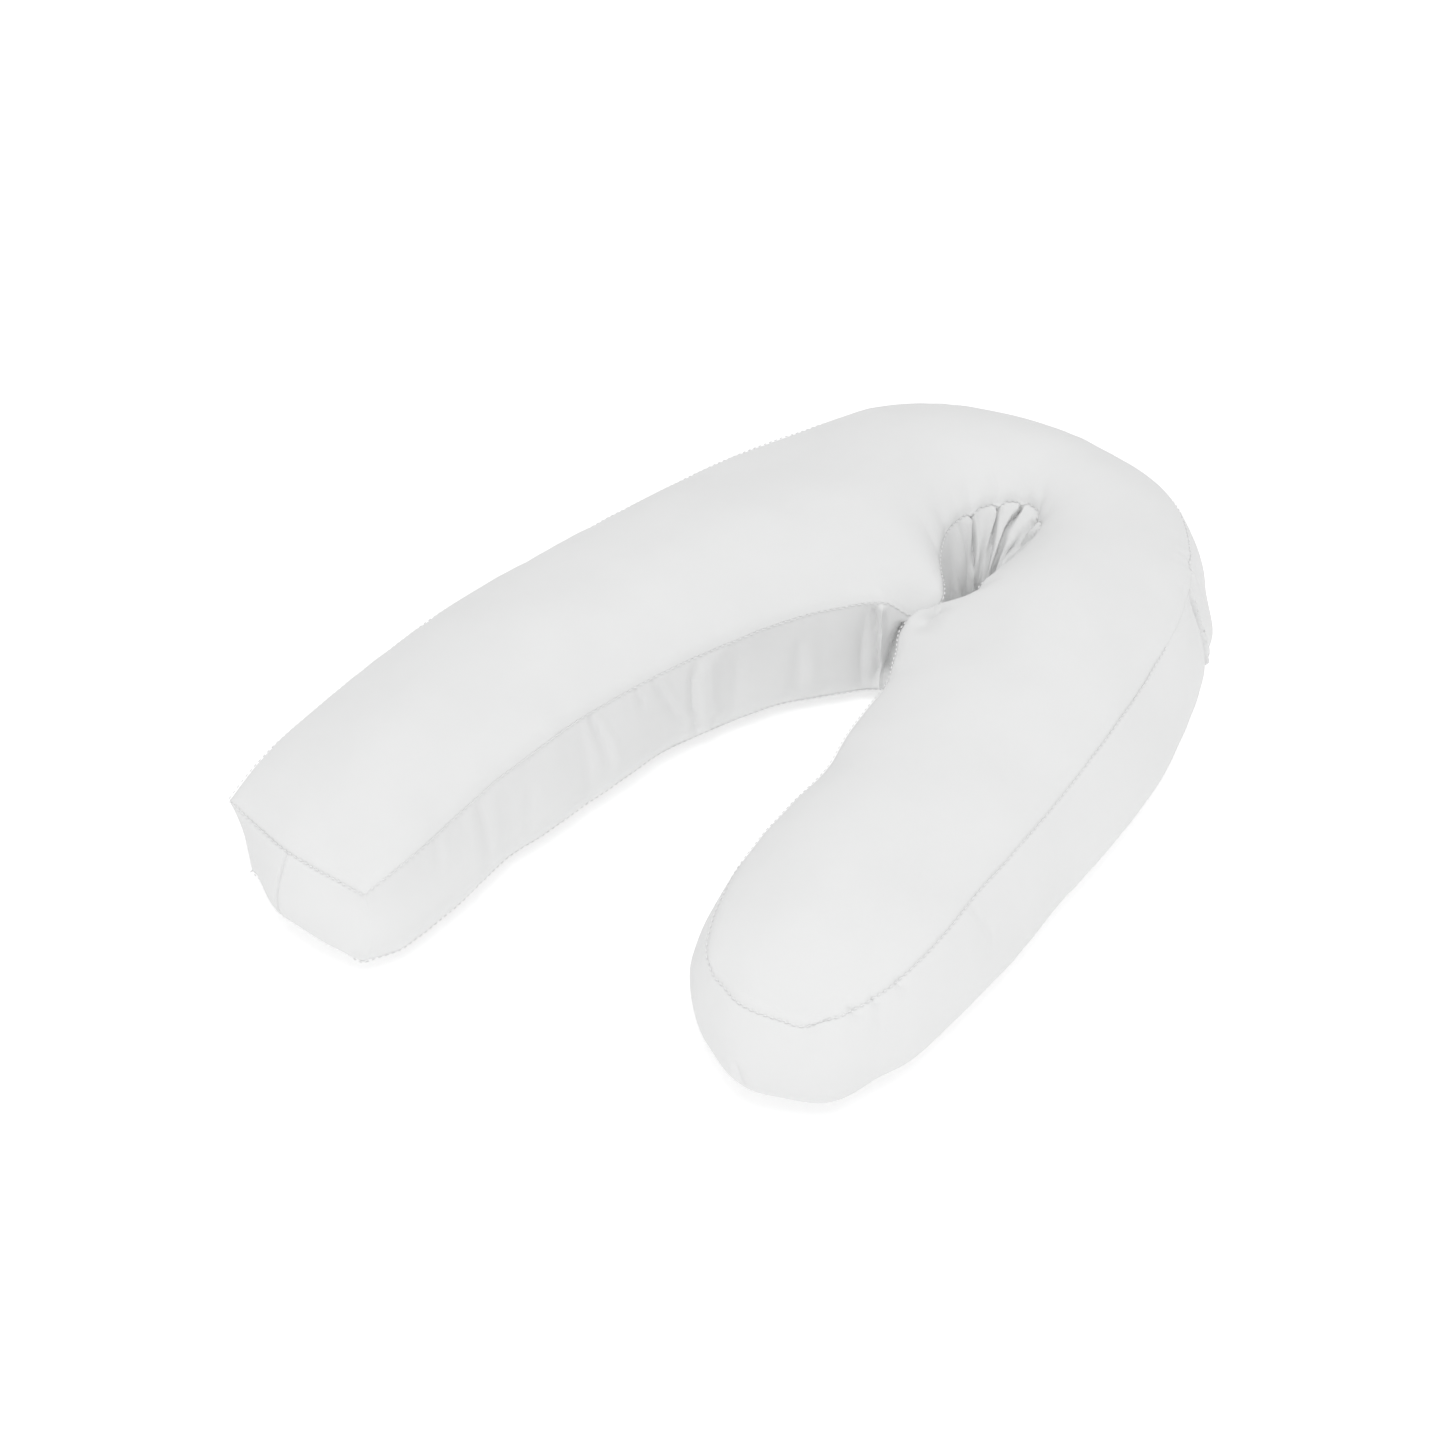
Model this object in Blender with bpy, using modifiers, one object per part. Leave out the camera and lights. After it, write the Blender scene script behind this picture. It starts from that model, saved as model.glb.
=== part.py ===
"""Side sleeper's body pillow: a boxed U-shaped cushion with a gathered ear hole.

The pillow lies flat on its bottom panel. Its two arms run along X and meet in a bend at +X.
The slot between the arms closes to a pinched neck, and opens again behind it as the ear hole.
It is sewn from a top panel, a bottom panel and the side band that holds the filling between
them. Sizes in the tables are millimetres; the model is in metres, +Z up, on the floor plane.
"""

import math
from collections import namedtuple

import bmesh
import bpy
from mathutils import Vector

MM = 0.001
NAME = "body_pillow"

# Cloth and sewing.
CLOTH = 1.5            # thickness of a panel's cloth
CLOTH_GAP = 0.4        # clearance between a panel and the filled body
FLOOR_LIFT = CLOTH + CLOTH_GAP
CREASE = 1.0           # a seam stays a line in the smoothed surface
SMOOTHING = 1          # subdivision levels on every piece

# Finish of the cotton.
TOP_WHITENESS = 0.82
BAND_WHITENESS = 0.80
BOTTOM_WHITENESS = 0.78
WARMTH = 0.01          # how much less blue than red and green it holds
ROUGHNESS = 0.85

# Form of the filling.
CROWN_POWER = 2.4      # how full the crown stays towards its seams
WALL_FULLNESS = 0.8    # how soon the walls reach their full bulge
WALL_SAG = 0.75        # under 1, the walls are fullest below half their height
UNDERCUT = 6.0         # the inner wall's bottom seam lies this far in from its top one
END_UNDERCUT = 3.0     # and an end wall's bottom seam this far
STEP = 0.02            # a short way along the pillow, in sections
FOLD_MARGIN = 0.05     # a fold's row this near to another row shares it
FOLD_FOOT = 0.9        # share of its reach that a fold has faded over

# Centre of the pillow's box in the plan that the sections are drawn on.
CENTRE = Vector((12.32, 8.53, 0.0))

# Fractions of the way across an arm, from its inner seam to its outer one, and up its walls.
ACROSS = (0.0, 0.12, 0.37, 0.63, 0.88, 1.0)
UP = (0.0, 0.22, 0.62, 1.0)
ON_EDGE = 1e-5         # a share this near to 0 or 1 lies on the edge

# One row for each section, from the square end of arm A round the bend to the end of arm B.
# inner: inner seam; waist: the inner wall at half its height; outer: outer seam; bulge: how
# far the outer wall stands out; splay: how far its bottom seam lies out past its top one;
# top, bottom: heights of the two seams; crown: rise of the top panel above its seams;
# steps: rows of the cage up to the next section.
Section = namedtuple(
    "Section",
    "name inner_x inner_y waist_x waist_y outer_x outer_y bulge splay top bottom crown steps")
SECTIONS = (
    Section("end_a", -321, 98, -323, 97, -315, 225, 3, -6, 84, 20, 0, 1),
    Section("cuff_a", -294, 90, -294, 86, -290, 226, 14, -6, 93, 17, 19, 1),
    Section("arm_a_1", -245, 91, -245, 86, -240, 229, 22, -4, 97, 16, 27, 1),
    Section("arm_a_2", -182, 92, -182, 86, -175, 232, 24, -3, 98, 16, 29, 1),
    Section("arm_a_3", -120, 86, -121, 80, -108, 231, 26, -2, 98, 16, 29, 1),
    Section("arm_a_4", -55, 75, -57, 70, -38, 224, 26, -2, 98, 16, 29, 1),
    Section("arm_a_5", 10, 51, 7, 46, 37, 211, 26, -2, 98, 16, 29, 1),
    Section("arm_a_6", 60, 30, 56, 26, 98, 199, 26, -2, 98, 14, 29, 1),
    Section("neck_a", 96, 0, 92, -3, 151, 187, 26, -2, 98, 12, 29, 2),
    Section("tip", 124, -38, 121, -44, 196, 172, 26, -2, 99, 12, 28, 2),
    Section("hole_1", 156, -11, 148, -22, 238, 153, 26, -2, 100, 14, 27, 1),
    Section("hole_2", 195, 5, 176, -16, 280, 129, 26, -2, 100, 14, 26, 2),
    Section("hole_3", 232, -1, 191, -19, 321, 86, 24, -2, 100, 14, 25, 3),
    Section("hole_4", 256, -23, 198, -28, 346, 10, 20, 0, 99, 14, 24, 2),
    Section("hole_5", 241, -46, 191, -37, 338, -68, 20, 0, 98, 14, 25, 2),
    Section("hole_6", 200, -52, 174, -40, 300, -135, 22, 0, 99, 14, 27, 1),
    Section("hole_7", 155, -49, 147, -41, 240, -168, 23, 2, 102, 14, 28, 2),
    Section("neck_b", 114, -46, 119, -41, 171, -188, 27, 7, 102, 14, 29, 1),
    Section("arm_b_1", 62, -54, 63, -48, 104, -198, 30, 8, 99, 14, 29, 1),
    Section("arm_b_2", 2, -61, 3, -54, 33, -202, 30, 7, 98, 14, 29, 1),
    Section("arm_b_3", -66, -74, -65, -66, -46, -205, 28, 7, 97, 14, 29, 1),
    Section("arm_b_4", -138, -75, -139, -64, -118, -209, 28, 7, 95, 14, 28, 1),
    Section("cuff_b", -199, -88, -205, -70, -182, -207, 24, 7, 92, 16, 23, 1),
    Section("end_b", -240, -114, -253, -97, -233, -188, 18, 6, 87, 18, 0, 0),
)
BOW = {"a": 6.0, "b": 12.0}           # how far each end seam bows out between its corners
END_BULGE = {"a": 21.0, "b": 17.0}    # and how far its end wall bulges out

# One row for each pinch of the side band. place: sections along the pillow; reach: sections
# to each side; wall: the wall it is on; depth: how far it runs into the filling.
Fold = namedtuple("Fold", "name place reach wall depth")
FOLDS = (
    Fold("inner_crease_1", 3.9, 0.12, "inner", 4.0),
    Fold("inner_crease_2", 5.9, 0.12, "inner", 6.0),
    Fold("neck_valley", 7.7, 0.15, "inner", 9.0),
    Fold("pleat_1", 11.0, 0.25, "inner", 6.0),
    Fold("pleat_2", 11.75, 0.25, "inner", 8.0),
    Fold("pleat_3", 12.33, 0.2, "inner", 9.0),
    Fold("pleat_4", 12.8, 0.2, "inner", 9.0),
    Fold("pleat_5", 13.3, 0.2, "inner", 7.0),
    Fold("bend_tuck", 16.0, 0.15, "outer", 11.0),
)


def blend(first, second, share):
    """A value part of the way from the first to the second."""
    return first + (second - first) * share


def spline(before, start, end, after, share):
    """A smooth value between start and end, led by the values on either side of them."""
    slope_in = (end - before) / 2
    slope_out = (after - start) / 2
    square = share * share
    cube = square * share
    return (start * (2 * cube - 3 * square + 1) + slope_in * (cube - 2 * square + share)
            + end * (3 * square - 2 * cube) + slope_out * (cube - square))


def section_at(place):
    """The section at a place along the pillow, counted in rows of the table."""
    last = len(SECTIONS) - 1
    index = min(int(place), last - 1)
    rows = [SECTIONS[min(max(index + step, 0), last)] for step in (-1, 0, 1, 2)]
    values = {}
    for column in Section._fields[1:-1]:
        values[column] = spline(*(getattr(row, column) for row in rows), place - index)
    return Section(name=rows[1].name, steps=1, **values)


def cage_rows():
    """Places of the cage's rows: the sections' steps, and three rows for each fold."""
    rows = []
    for index, section in enumerate(SECTIONS):
        rows += [index + step / section.steps for step in range(section.steps)]
    rows.append(len(SECTIONS) - 1)
    for fold in FOLDS:
        for place in (fold.place - fold.reach, fold.place, fold.place + fold.reach):
            if min(abs(place - row) for row in rows) > FOLD_MARGIN:
                rows.append(place)
    return sorted(rows)


def fold_depth(place, wall):
    """How far the folds of a wall run into the filling at a place along the pillow."""
    depth = 0.0
    for fold in FOLDS:
        if fold.wall == wall:
            depth += fold.depth * max(0.0, 1 - abs(place - fold.place) / (fold.reach * FOLD_FOOT))
    return depth


def edges_across(section, up):
    """Inner and outer ends of a section at a share of the walls' height, on the floor plane."""
    inner = Vector((section.inner_x, section.inner_y, 0))
    outer = Vector((section.outer_x, section.outer_y, 0))
    across = (outer - inner).normalized() * (1 - up)
    return inner + across * UNDERCUT, outer + across * section.splay


def end_shift(place, across, up):
    """How an arm's end bows out between its corners and slopes in below, dying away along it."""
    last = len(SECTIONS) - 1
    share = 4 * across * (1 - across)
    shift = Vector((0, 0, 0))
    for near, bow in ((place, BOW["a"]), (last - place, BOW["b"])):
        shift.x += (END_UNDERCUT * (1 - up) - bow * share) * max(0.0, 1 - near)
    return shift


def panel_point(place, across, is_top):
    """A point of the filled body under the top or the bottom panel."""
    section = section_at(place)
    inner, outer = edges_across(section, is_top)
    point = inner.lerp(outer, across) + end_shift(place, across, is_top)
    edge = abs(2 * across - 1) ** CROWN_POWER
    if is_top:
        point.z = section.top + section.crown * (1 - edge)
    else:
        on_floor = 0 < across < 1 and 0 < place < len(SECTIONS) - 1
        point.z = FLOOR_LIFT if on_floor else section.bottom
    return point


def wall_point(place, across, up):
    """A point of the side band, on an inner, outer or end wall."""
    section = section_at(place)
    inner, outer = edges_across(section, up)
    bulge = math.sin(math.pi * up ** WALL_SAG) ** WALL_FULLNESS
    before = edges_across(section_at(max(place - STEP, 0)), up)[1]
    after = edges_across(section_at(min(place + STEP, len(SECTIONS) - 1)), up)[1]
    along = after - before
    outward = Vector((-along.y, along.x, 0)).normalized()
    waist = Vector((section.waist_x, section.waist_y, 0))
    into = (outer - inner).normalized()
    inner_wall = inner.lerp(waist, bulge) + into * fold_depth(place, "inner") * bulge
    outer_wall = outer + outward * (section.bulge - fold_depth(place, "outer")) * bulge
    point = inner_wall.lerp(outer_wall, across) + end_shift(place, across, up)
    if 0 < across < 1:
        end_bulge = END_BULGE["a" if place == 0 else "b"]
        point.x -= end_bulge * bulge * 4 * across * (1 - across)
    point.z = blend(section.bottom, section.top, up)
    return point


def to_model(point):
    """A point of the plan, in the model's metres."""
    return (point - CENTRE) * MM


def is_on_edge(share):
    """Whether a share of the unit box's side is at one of its ends."""
    return min(share, 1 - share) < ON_EDGE


def cut_lattice(bm, normal, places):
    """Cut the cage's unit box by planes square to an axis."""
    for place in places:
        bmesh.ops.bisect_plane(
            bm, geom=bm.verts[:] + bm.edges[:] + bm.faces[:], dist=ON_EDGE / 10,
            plane_co=normal * place, plane_no=normal)


def new_object(name, bm, collection, material):
    """A smooth-shaded object made from a bmesh."""
    mesh = bpy.data.meshes.new(name)
    bm.to_mesh(mesh)
    bm.free()
    mesh.shade_smooth()
    mesh.materials.append(material)
    item = bpy.data.objects.new(name, mesh)
    collection.objects.link(item)
    return item


def add_smoothing(item):
    """Round the cage with a Subdivision Surface that leaves its corners where they are."""
    smoothing = item.modifiers.new("Smoothing", "SUBSURF")
    smoothing.levels = SMOOTHING
    smoothing.render_levels = SMOOTHING
    smoothing.boundary_smooth = "PRESERVE_CORNERS"
    facets = item.modifiers.new("Facets", "TRIANGULATE")
    facets.quad_method = "SHORTEST_DIAGONAL"


def cotton(name, whiteness):
    """A plain matte white cotton."""
    material = bpy.data.materials.new(name)
    material.use_nodes = True
    shader = material.node_tree.nodes["Principled BSDF"]
    shader.inputs["Base Color"].default_value = (whiteness, whiteness, whiteness - WARMTH, 1)
    shader.inputs["Roughness"].default_value = ROUGHNESS
    shader.inputs["Metallic"].default_value = 0.0
    return material


def build_body(collection, material):
    """The side band and the filling: a box cut into rows, and bent into the pillow."""
    rows = cage_rows()
    last = rows[-1]
    bm = bmesh.new()
    bmesh.ops.create_cube(bm, size=1.0)
    bmesh.ops.translate(bm, verts=bm.verts, vec=(0.5, 0.5, 0.5))
    cut_lattice(bm, Vector((1, 0, 0)), [row / last for row in rows[1:-1]])
    cut_lattice(bm, Vector((0, 1, 0)), ACROSS[1:-1])
    cut_lattice(bm, Vector((0, 0, 1)), UP[1:-1])
    edge_crease = bm.edges.layers.float.new("crease_edge")
    corner_crease = bm.verts.layers.float.new("crease_vert")
    for edge in bm.edges:
        on_seam = all(is_on_edge(vert.co.z) for vert in edge.verts)
        on_rim = [face for face in edge.link_faces if abs(face.normal.z) < 0.5]
        if on_seam and on_rim:
            edge[edge_crease] = CREASE
    for vert in bm.verts:
        if all(is_on_edge(value) for value in vert.co):
            vert[corner_crease] = CREASE
    for vert in bm.verts:
        place = min(rows, key=lambda row: abs(row - vert.co.x * last))
        across = min(ACROSS, key=lambda share: abs(share - vert.co.y))
        if is_on_edge(vert.co.z):
            point = panel_point(place, across, round(vert.co.z))
        else:
            point = wall_point(place, across, vert.co.z)
        vert.co = to_model(point)
    bmesh.ops.recalc_face_normals(bm, faces=bm.faces)
    item = new_object("filled_body", bm, collection, material)
    add_smoothing(item)
    return item


def build_panel(name, is_top, collection, material):
    """A panel's sheet of cloth, laid over the filled body from seam to seam."""
    rows = cage_rows()
    bm = bmesh.new()
    bmesh.ops.create_grid(bm, x_segments=len(rows) - 1, y_segments=len(ACROSS) - 1, size=0.5)
    for vert in bm.verts:
        row = rows[round((vert.co.x + 0.5) * (len(rows) - 1))]
        across = ACROSS[round((vert.co.y + 0.5) * (len(ACROSS) - 1))]
        vert.co = to_model(panel_point(row, across, is_top))
    if is_top == (bm.faces[:][0].normal.z < 0):
        bmesh.ops.reverse_faces(bm, faces=bm.faces)
    bm.normal_update()
    for vert in bm.verts:
        vert.co += vert.normal * CLOTH_GAP * MM
    item = new_object(name, bm, collection, material)
    add_smoothing(item)
    cloth = item.modifiers.new("Cloth", "SOLIDIFY")
    cloth.thickness = CLOTH * MM
    cloth.offset = 1.0
    return item


def build():
    """Clear the scene and build the pillow's three pieces in their own collection."""
    for item in list(bpy.data.objects):
        bpy.data.objects.remove(item)
    collection = bpy.data.collections.new(NAME)
    bpy.context.scene.collection.children.link(collection)
    build_body(collection, cotton("band_cotton", BAND_WHITENESS))
    build_panel("top_panel", True, collection, cotton("top_cotton", TOP_WHITENESS))
    build_panel("bottom_panel", False, collection, cotton("bottom_cotton", BOTTOM_WHITENESS))


build()
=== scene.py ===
"""Dresses a side sleeper's body pillow in white cotton, with its sewn seams and gathered ear hole.

The pillow lies flat with its two arms along X. A side band is sewn between two panels that are
cut alike, and holds the filling. The cotton's creases, puckers and stitches are worked on fine
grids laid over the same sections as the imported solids. Tables are in millimetres; meshes are in
metres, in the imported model's frame.
"""

import logging
import math
from collections.abc import Sequence
from dataclasses import dataclass
from enum import Enum, IntEnum
from typing import NamedTuple

import bmesh
import bpy
import numpy as np
from mathutils import Matrix, Quaternion, Vector, noise


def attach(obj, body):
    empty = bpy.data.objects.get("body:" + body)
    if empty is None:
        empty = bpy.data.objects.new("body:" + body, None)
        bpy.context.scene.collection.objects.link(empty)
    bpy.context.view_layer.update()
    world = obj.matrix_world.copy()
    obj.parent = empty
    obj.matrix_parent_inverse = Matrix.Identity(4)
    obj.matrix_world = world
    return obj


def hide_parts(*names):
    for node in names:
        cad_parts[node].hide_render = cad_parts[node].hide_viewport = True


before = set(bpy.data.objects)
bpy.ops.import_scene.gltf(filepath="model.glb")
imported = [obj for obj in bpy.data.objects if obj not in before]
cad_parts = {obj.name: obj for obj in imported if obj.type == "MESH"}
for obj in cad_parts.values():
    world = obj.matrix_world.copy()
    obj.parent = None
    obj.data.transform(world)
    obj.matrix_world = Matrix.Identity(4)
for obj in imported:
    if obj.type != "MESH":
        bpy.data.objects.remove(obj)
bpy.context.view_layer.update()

Pair = tuple[float, float]
Triple = tuple[float, float, float]
Path = tuple[Pair, ...]

LOG = logging.getLogger("pillow")
BODY = "root"
WEAVE_MAP = "weave"
WHITE = (1, 1, 1, 1)
MM = 0.001
# How near two grids' vertices are welded, in metres, and the angle from which an edge is sharp.
WELD = 2e-6
SHARP = math.radians(50)
# Guards against dividing by nothing, and a place that is far from every other one.
TINY = 1e-9
EDGE_BLUR = 1e-6
FAR_AWAY = -1e6

# How the cage of the sections is divided: across an arm from its inner seam to its outer one,
# and up its walls.
ACROSS = (0.0, 0.12, 0.37, 0.63, 0.88, 1.0)
UP = (0.0, 0.22, 0.62, 1.0)


class Section(NamedTuple):
    """A cut across the pillow, with sizes in millimetres.

    The inner and outer seams are points on the floor plan. The waist is the inner wall at half
    its height. The bulge is how far the outer wall stands out, and the splay how far its bottom
    seam lies out past its top one. Top and bottom are the seams' heights, the crown is the rise
    of the panel above its seams, and steps counts the cage's rows up to the next section.
    """

    name: str
    inner_x: float
    inner_y: float
    waist_x: float
    waist_y: float
    outer_x: float
    outer_y: float
    bulge: float
    splay: float
    top: float
    bottom: float
    crown: float
    steps: int


# From the square end of arm A, round the bend, to the round end of arm B.
SECTIONS = (
    Section("end_a", -321, 98, -323, 97, -315, 225, 3, -6, 84, 20, 0, 1),
    Section("cuff_a", -294, 90, -294, 86, -290, 226, 14, -6, 93, 17, 19, 1),
    Section("arm_a_1", -245, 91, -245, 86, -240, 229, 22, -4, 97, 16, 27, 1),
    Section("arm_a_2", -182, 92, -182, 86, -175, 232, 24, -3, 98, 16, 29, 1),
    Section("arm_a_3", -120, 86, -121, 80, -108, 231, 26, -2, 98, 16, 29, 1),
    Section("arm_a_4", -55, 75, -57, 70, -38, 224, 26, -2, 98, 16, 29, 1),
    Section("arm_a_5", 10, 51, 7, 46, 37, 211, 26, -2, 98, 16, 29, 1),
    Section("arm_a_6", 60, 30, 56, 26, 98, 199, 26, -2, 98, 14, 29, 1),
    Section("neck_a", 96, 0, 92, -3, 151, 187, 26, -2, 98, 12, 29, 2),
    Section("tip", 124, -38, 121, -44, 196, 172, 26, -2, 99, 12, 28, 2),
    Section("hole_1", 156, -11, 148, -22, 238, 153, 26, -2, 100, 14, 27, 1),
    Section("hole_2", 195, 5, 176, -16, 280, 129, 26, -2, 100, 14, 26, 2),
    Section("hole_3", 232, -1, 191, -19, 321, 86, 24, -2, 100, 14, 25, 3),
    Section("hole_4", 256, -23, 198, -28, 346, 10, 20, 0, 99, 14, 24, 2),
    Section("hole_5", 241, -46, 191, -37, 338, -68, 20, 0, 98, 14, 25, 2),
    Section("hole_6", 200, -52, 174, -40, 300, -135, 22, 0, 99, 14, 27, 1),
    Section("hole_7", 155, -49, 147, -41, 240, -168, 23, 2, 102, 14, 28, 2),
    Section("neck_b", 114, -46, 119, -41, 171, -188, 27, 7, 102, 14, 29, 1),
    Section("arm_b_1", 62, -54, 63, -48, 104, -198, 30, 8, 99, 14, 29, 1),
    Section("arm_b_2", 2, -61, 3, -54, 33, -202, 30, 7, 98, 14, 29, 1),
    Section("arm_b_3", -66, -74, -65, -66, -46, -205, 28, 7, 97, 14, 29, 1),
    Section("arm_b_4", -138, -75, -139, -64, -118, -209, 28, 7, 95, 14, 28, 1),
    Section("cuff_b", -199, -88, -205, -70, -182, -207, 24, 7, 92, 16, 23, 1),
    Section("end_b", -240, -114, -253, -97, -233, -188, 18, 6, 87, 18, 0, 0),
)
LAST = len(SECTIONS) - 1


class Wall(Enum):
    """A stretch of the side band."""

    INNER = "inner"
    OUTER = "outer"
    END_A = "end_a"
    END_B = "end_b"


class Panel(Enum):
    """One of the two panels that the band joins."""

    TOP = "top"
    BOTTOM = "bottom"


# The band's level at each panel's seam, and the one that tells which way its wall faces there.
SEAM_LEVELS = {Panel.BOTTOM: 0, Panel.TOP: -1}
WALL_LEVELS = {Panel.BOTTOM: 3, Panel.TOP: -4}


class Seed(IntEnum):
    """Which noise each unevenness is, so that no two are alike; a pucker's adds its patches'."""

    WOBBLE = 1
    PATCHES = 3
    LUMPS = 7
    SEAM_WOBBLE = 11
    PUCKER_TOP = 21
    PUCKER_BOTTOM = 31
    PUCKER_PANELS = 41
    PULL_TOP = 50
    PULL_BOTTOM = 51


class Pinch(NamedTuple):
    """A broad pinch of the side band, which the cage has rows of its own for."""

    place: float
    reach: float
    wall: Wall
    depth: float


PINCHES = (
    Pinch(3.9, 0.12, Wall.INNER, 4.0),
    Pinch(5.9, 0.12, Wall.INNER, 6.0),
    Pinch(7.88, 0.12, Wall.INNER, 10.0),
    Pinch(11.0, 0.25, Wall.INNER, 6.0),
    Pinch(11.75, 0.25, Wall.INNER, 8.0),
    Pinch(12.33, 0.2, Wall.INNER, 9.0),
    Pinch(12.8, 0.2, Wall.INNER, 9.0),
    Pinch(13.3, 0.2, Wall.INNER, 7.0),
    Pinch(16.0, 0.15, Wall.OUTER, 11.0),
)


def spline(before: float, start: float, end: float, after: float, share: float) -> float:
    """A smooth value between start and end, led by the values on either side of them.

    Args:
        before: the value before start.
        start: the value at share 0.
        end: the value at share 1.
        after: the value after end.
        share: how far it is from start to end.

    Returns:
        The value there.
    """
    slope_in = (end - before) / 2
    slope_out = (after - start) / 2
    square = share * share
    cube = square * share
    return (start * (2 * cube - 3 * square + 1) + slope_in * (cube - 2 * square + share)
            + end * (3 * square - 2 * cube) + slope_out * (cube - square))


def smooth_step(share: np.ndarray) -> np.ndarray:
    """Shares from 0 to 1, eased at both ends and held there beyond them."""
    held = np.clip(share, 0.0, 1.0)
    return held * held * (3 - 2 * held)


def eased_between(values: np.ndarray, low: float, high: float, eases: Pair) -> np.ndarray:
    """How far values are inside a range, eased from 0 at its two ends to 1."""
    return smooth_step((values - low) / eases[0]) * smooth_step((high - values) / eases[1])


def arch(share: float) -> float:
    """An arch over shares from 0 to 1, which is 1 in the middle."""
    return 4 * share * (1 - share)


def index_in(values: Sequence[float], wanted: np.ndarray) -> np.ndarray:
    """Where wanted values lie in a rising row of values, counted in its entries."""
    return np.interp(wanted, values, np.arange(len(values)))


def blend_weights(places: np.ndarray, count: int, is_ring: bool = False) -> np.ndarray:
    """Weights that turn a row of cage points into smooth points.

    Args:
        places: where the smooth points lie, counted in cage points.
        count: how many cage points there are.
        is_ring: whether the last cage point is followed by the first.

    Returns:
        An array with a row for each smooth point and a column for each cage point.
    """
    cells = np.floor(places).astype(int)
    if not is_ring:
        cells = np.clip(cells, 0, count - 2)
    share = places - cells
    parts = ((1 - share) ** 3, 3 * share ** 3 - 6 * share ** 2 + 4,
             -3 * share ** 3 + 3 * share ** 2 + 3 * share + 1, share ** 3)
    order = np.arange(len(places))
    if is_ring:
        ring = np.zeros((len(places), count))
        for step, part in enumerate(parts):
            ring[order, (cells + step - 1) % count] += part / 6
        return ring
    weights = np.zeros((len(places), count + 2))
    for step, part in enumerate(parts):
        weights[order, cells + step] += part / 6
    # The points past both ends lie straight on from them, so the ends stay where they are.
    for beyond, end, within in ((0, 1, 2), (-1, -2, -3)):
        weights[:, end] += 2 * weights[:, beyond]
        weights[:, within] -= weights[:, beyond]
    return weights[:, 1:-1]


def unit(vectors: np.ndarray) -> np.ndarray:
    """The vectors, each made one long."""
    return vectors / np.maximum(np.linalg.norm(vectors, axis=-1, keepdims=True), TINY)


def lengths_along(points: np.ndarray, axis: int) -> np.ndarray:
    """How far each point of a grid is along its line from the line's first point.

    Args:
        points: a grid of points, or one line of them.
        axis: the axis that the lines run along.

    Returns:
        The distances, in the units of the points.
    """
    gaps = np.linalg.norm(np.diff(points, axis=axis), axis=-1)
    start = np.zeros_like(np.take(gaps, [0], axis=axis))
    return np.concatenate([start, np.cumsum(gaps, axis=axis)], axis=axis)


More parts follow.
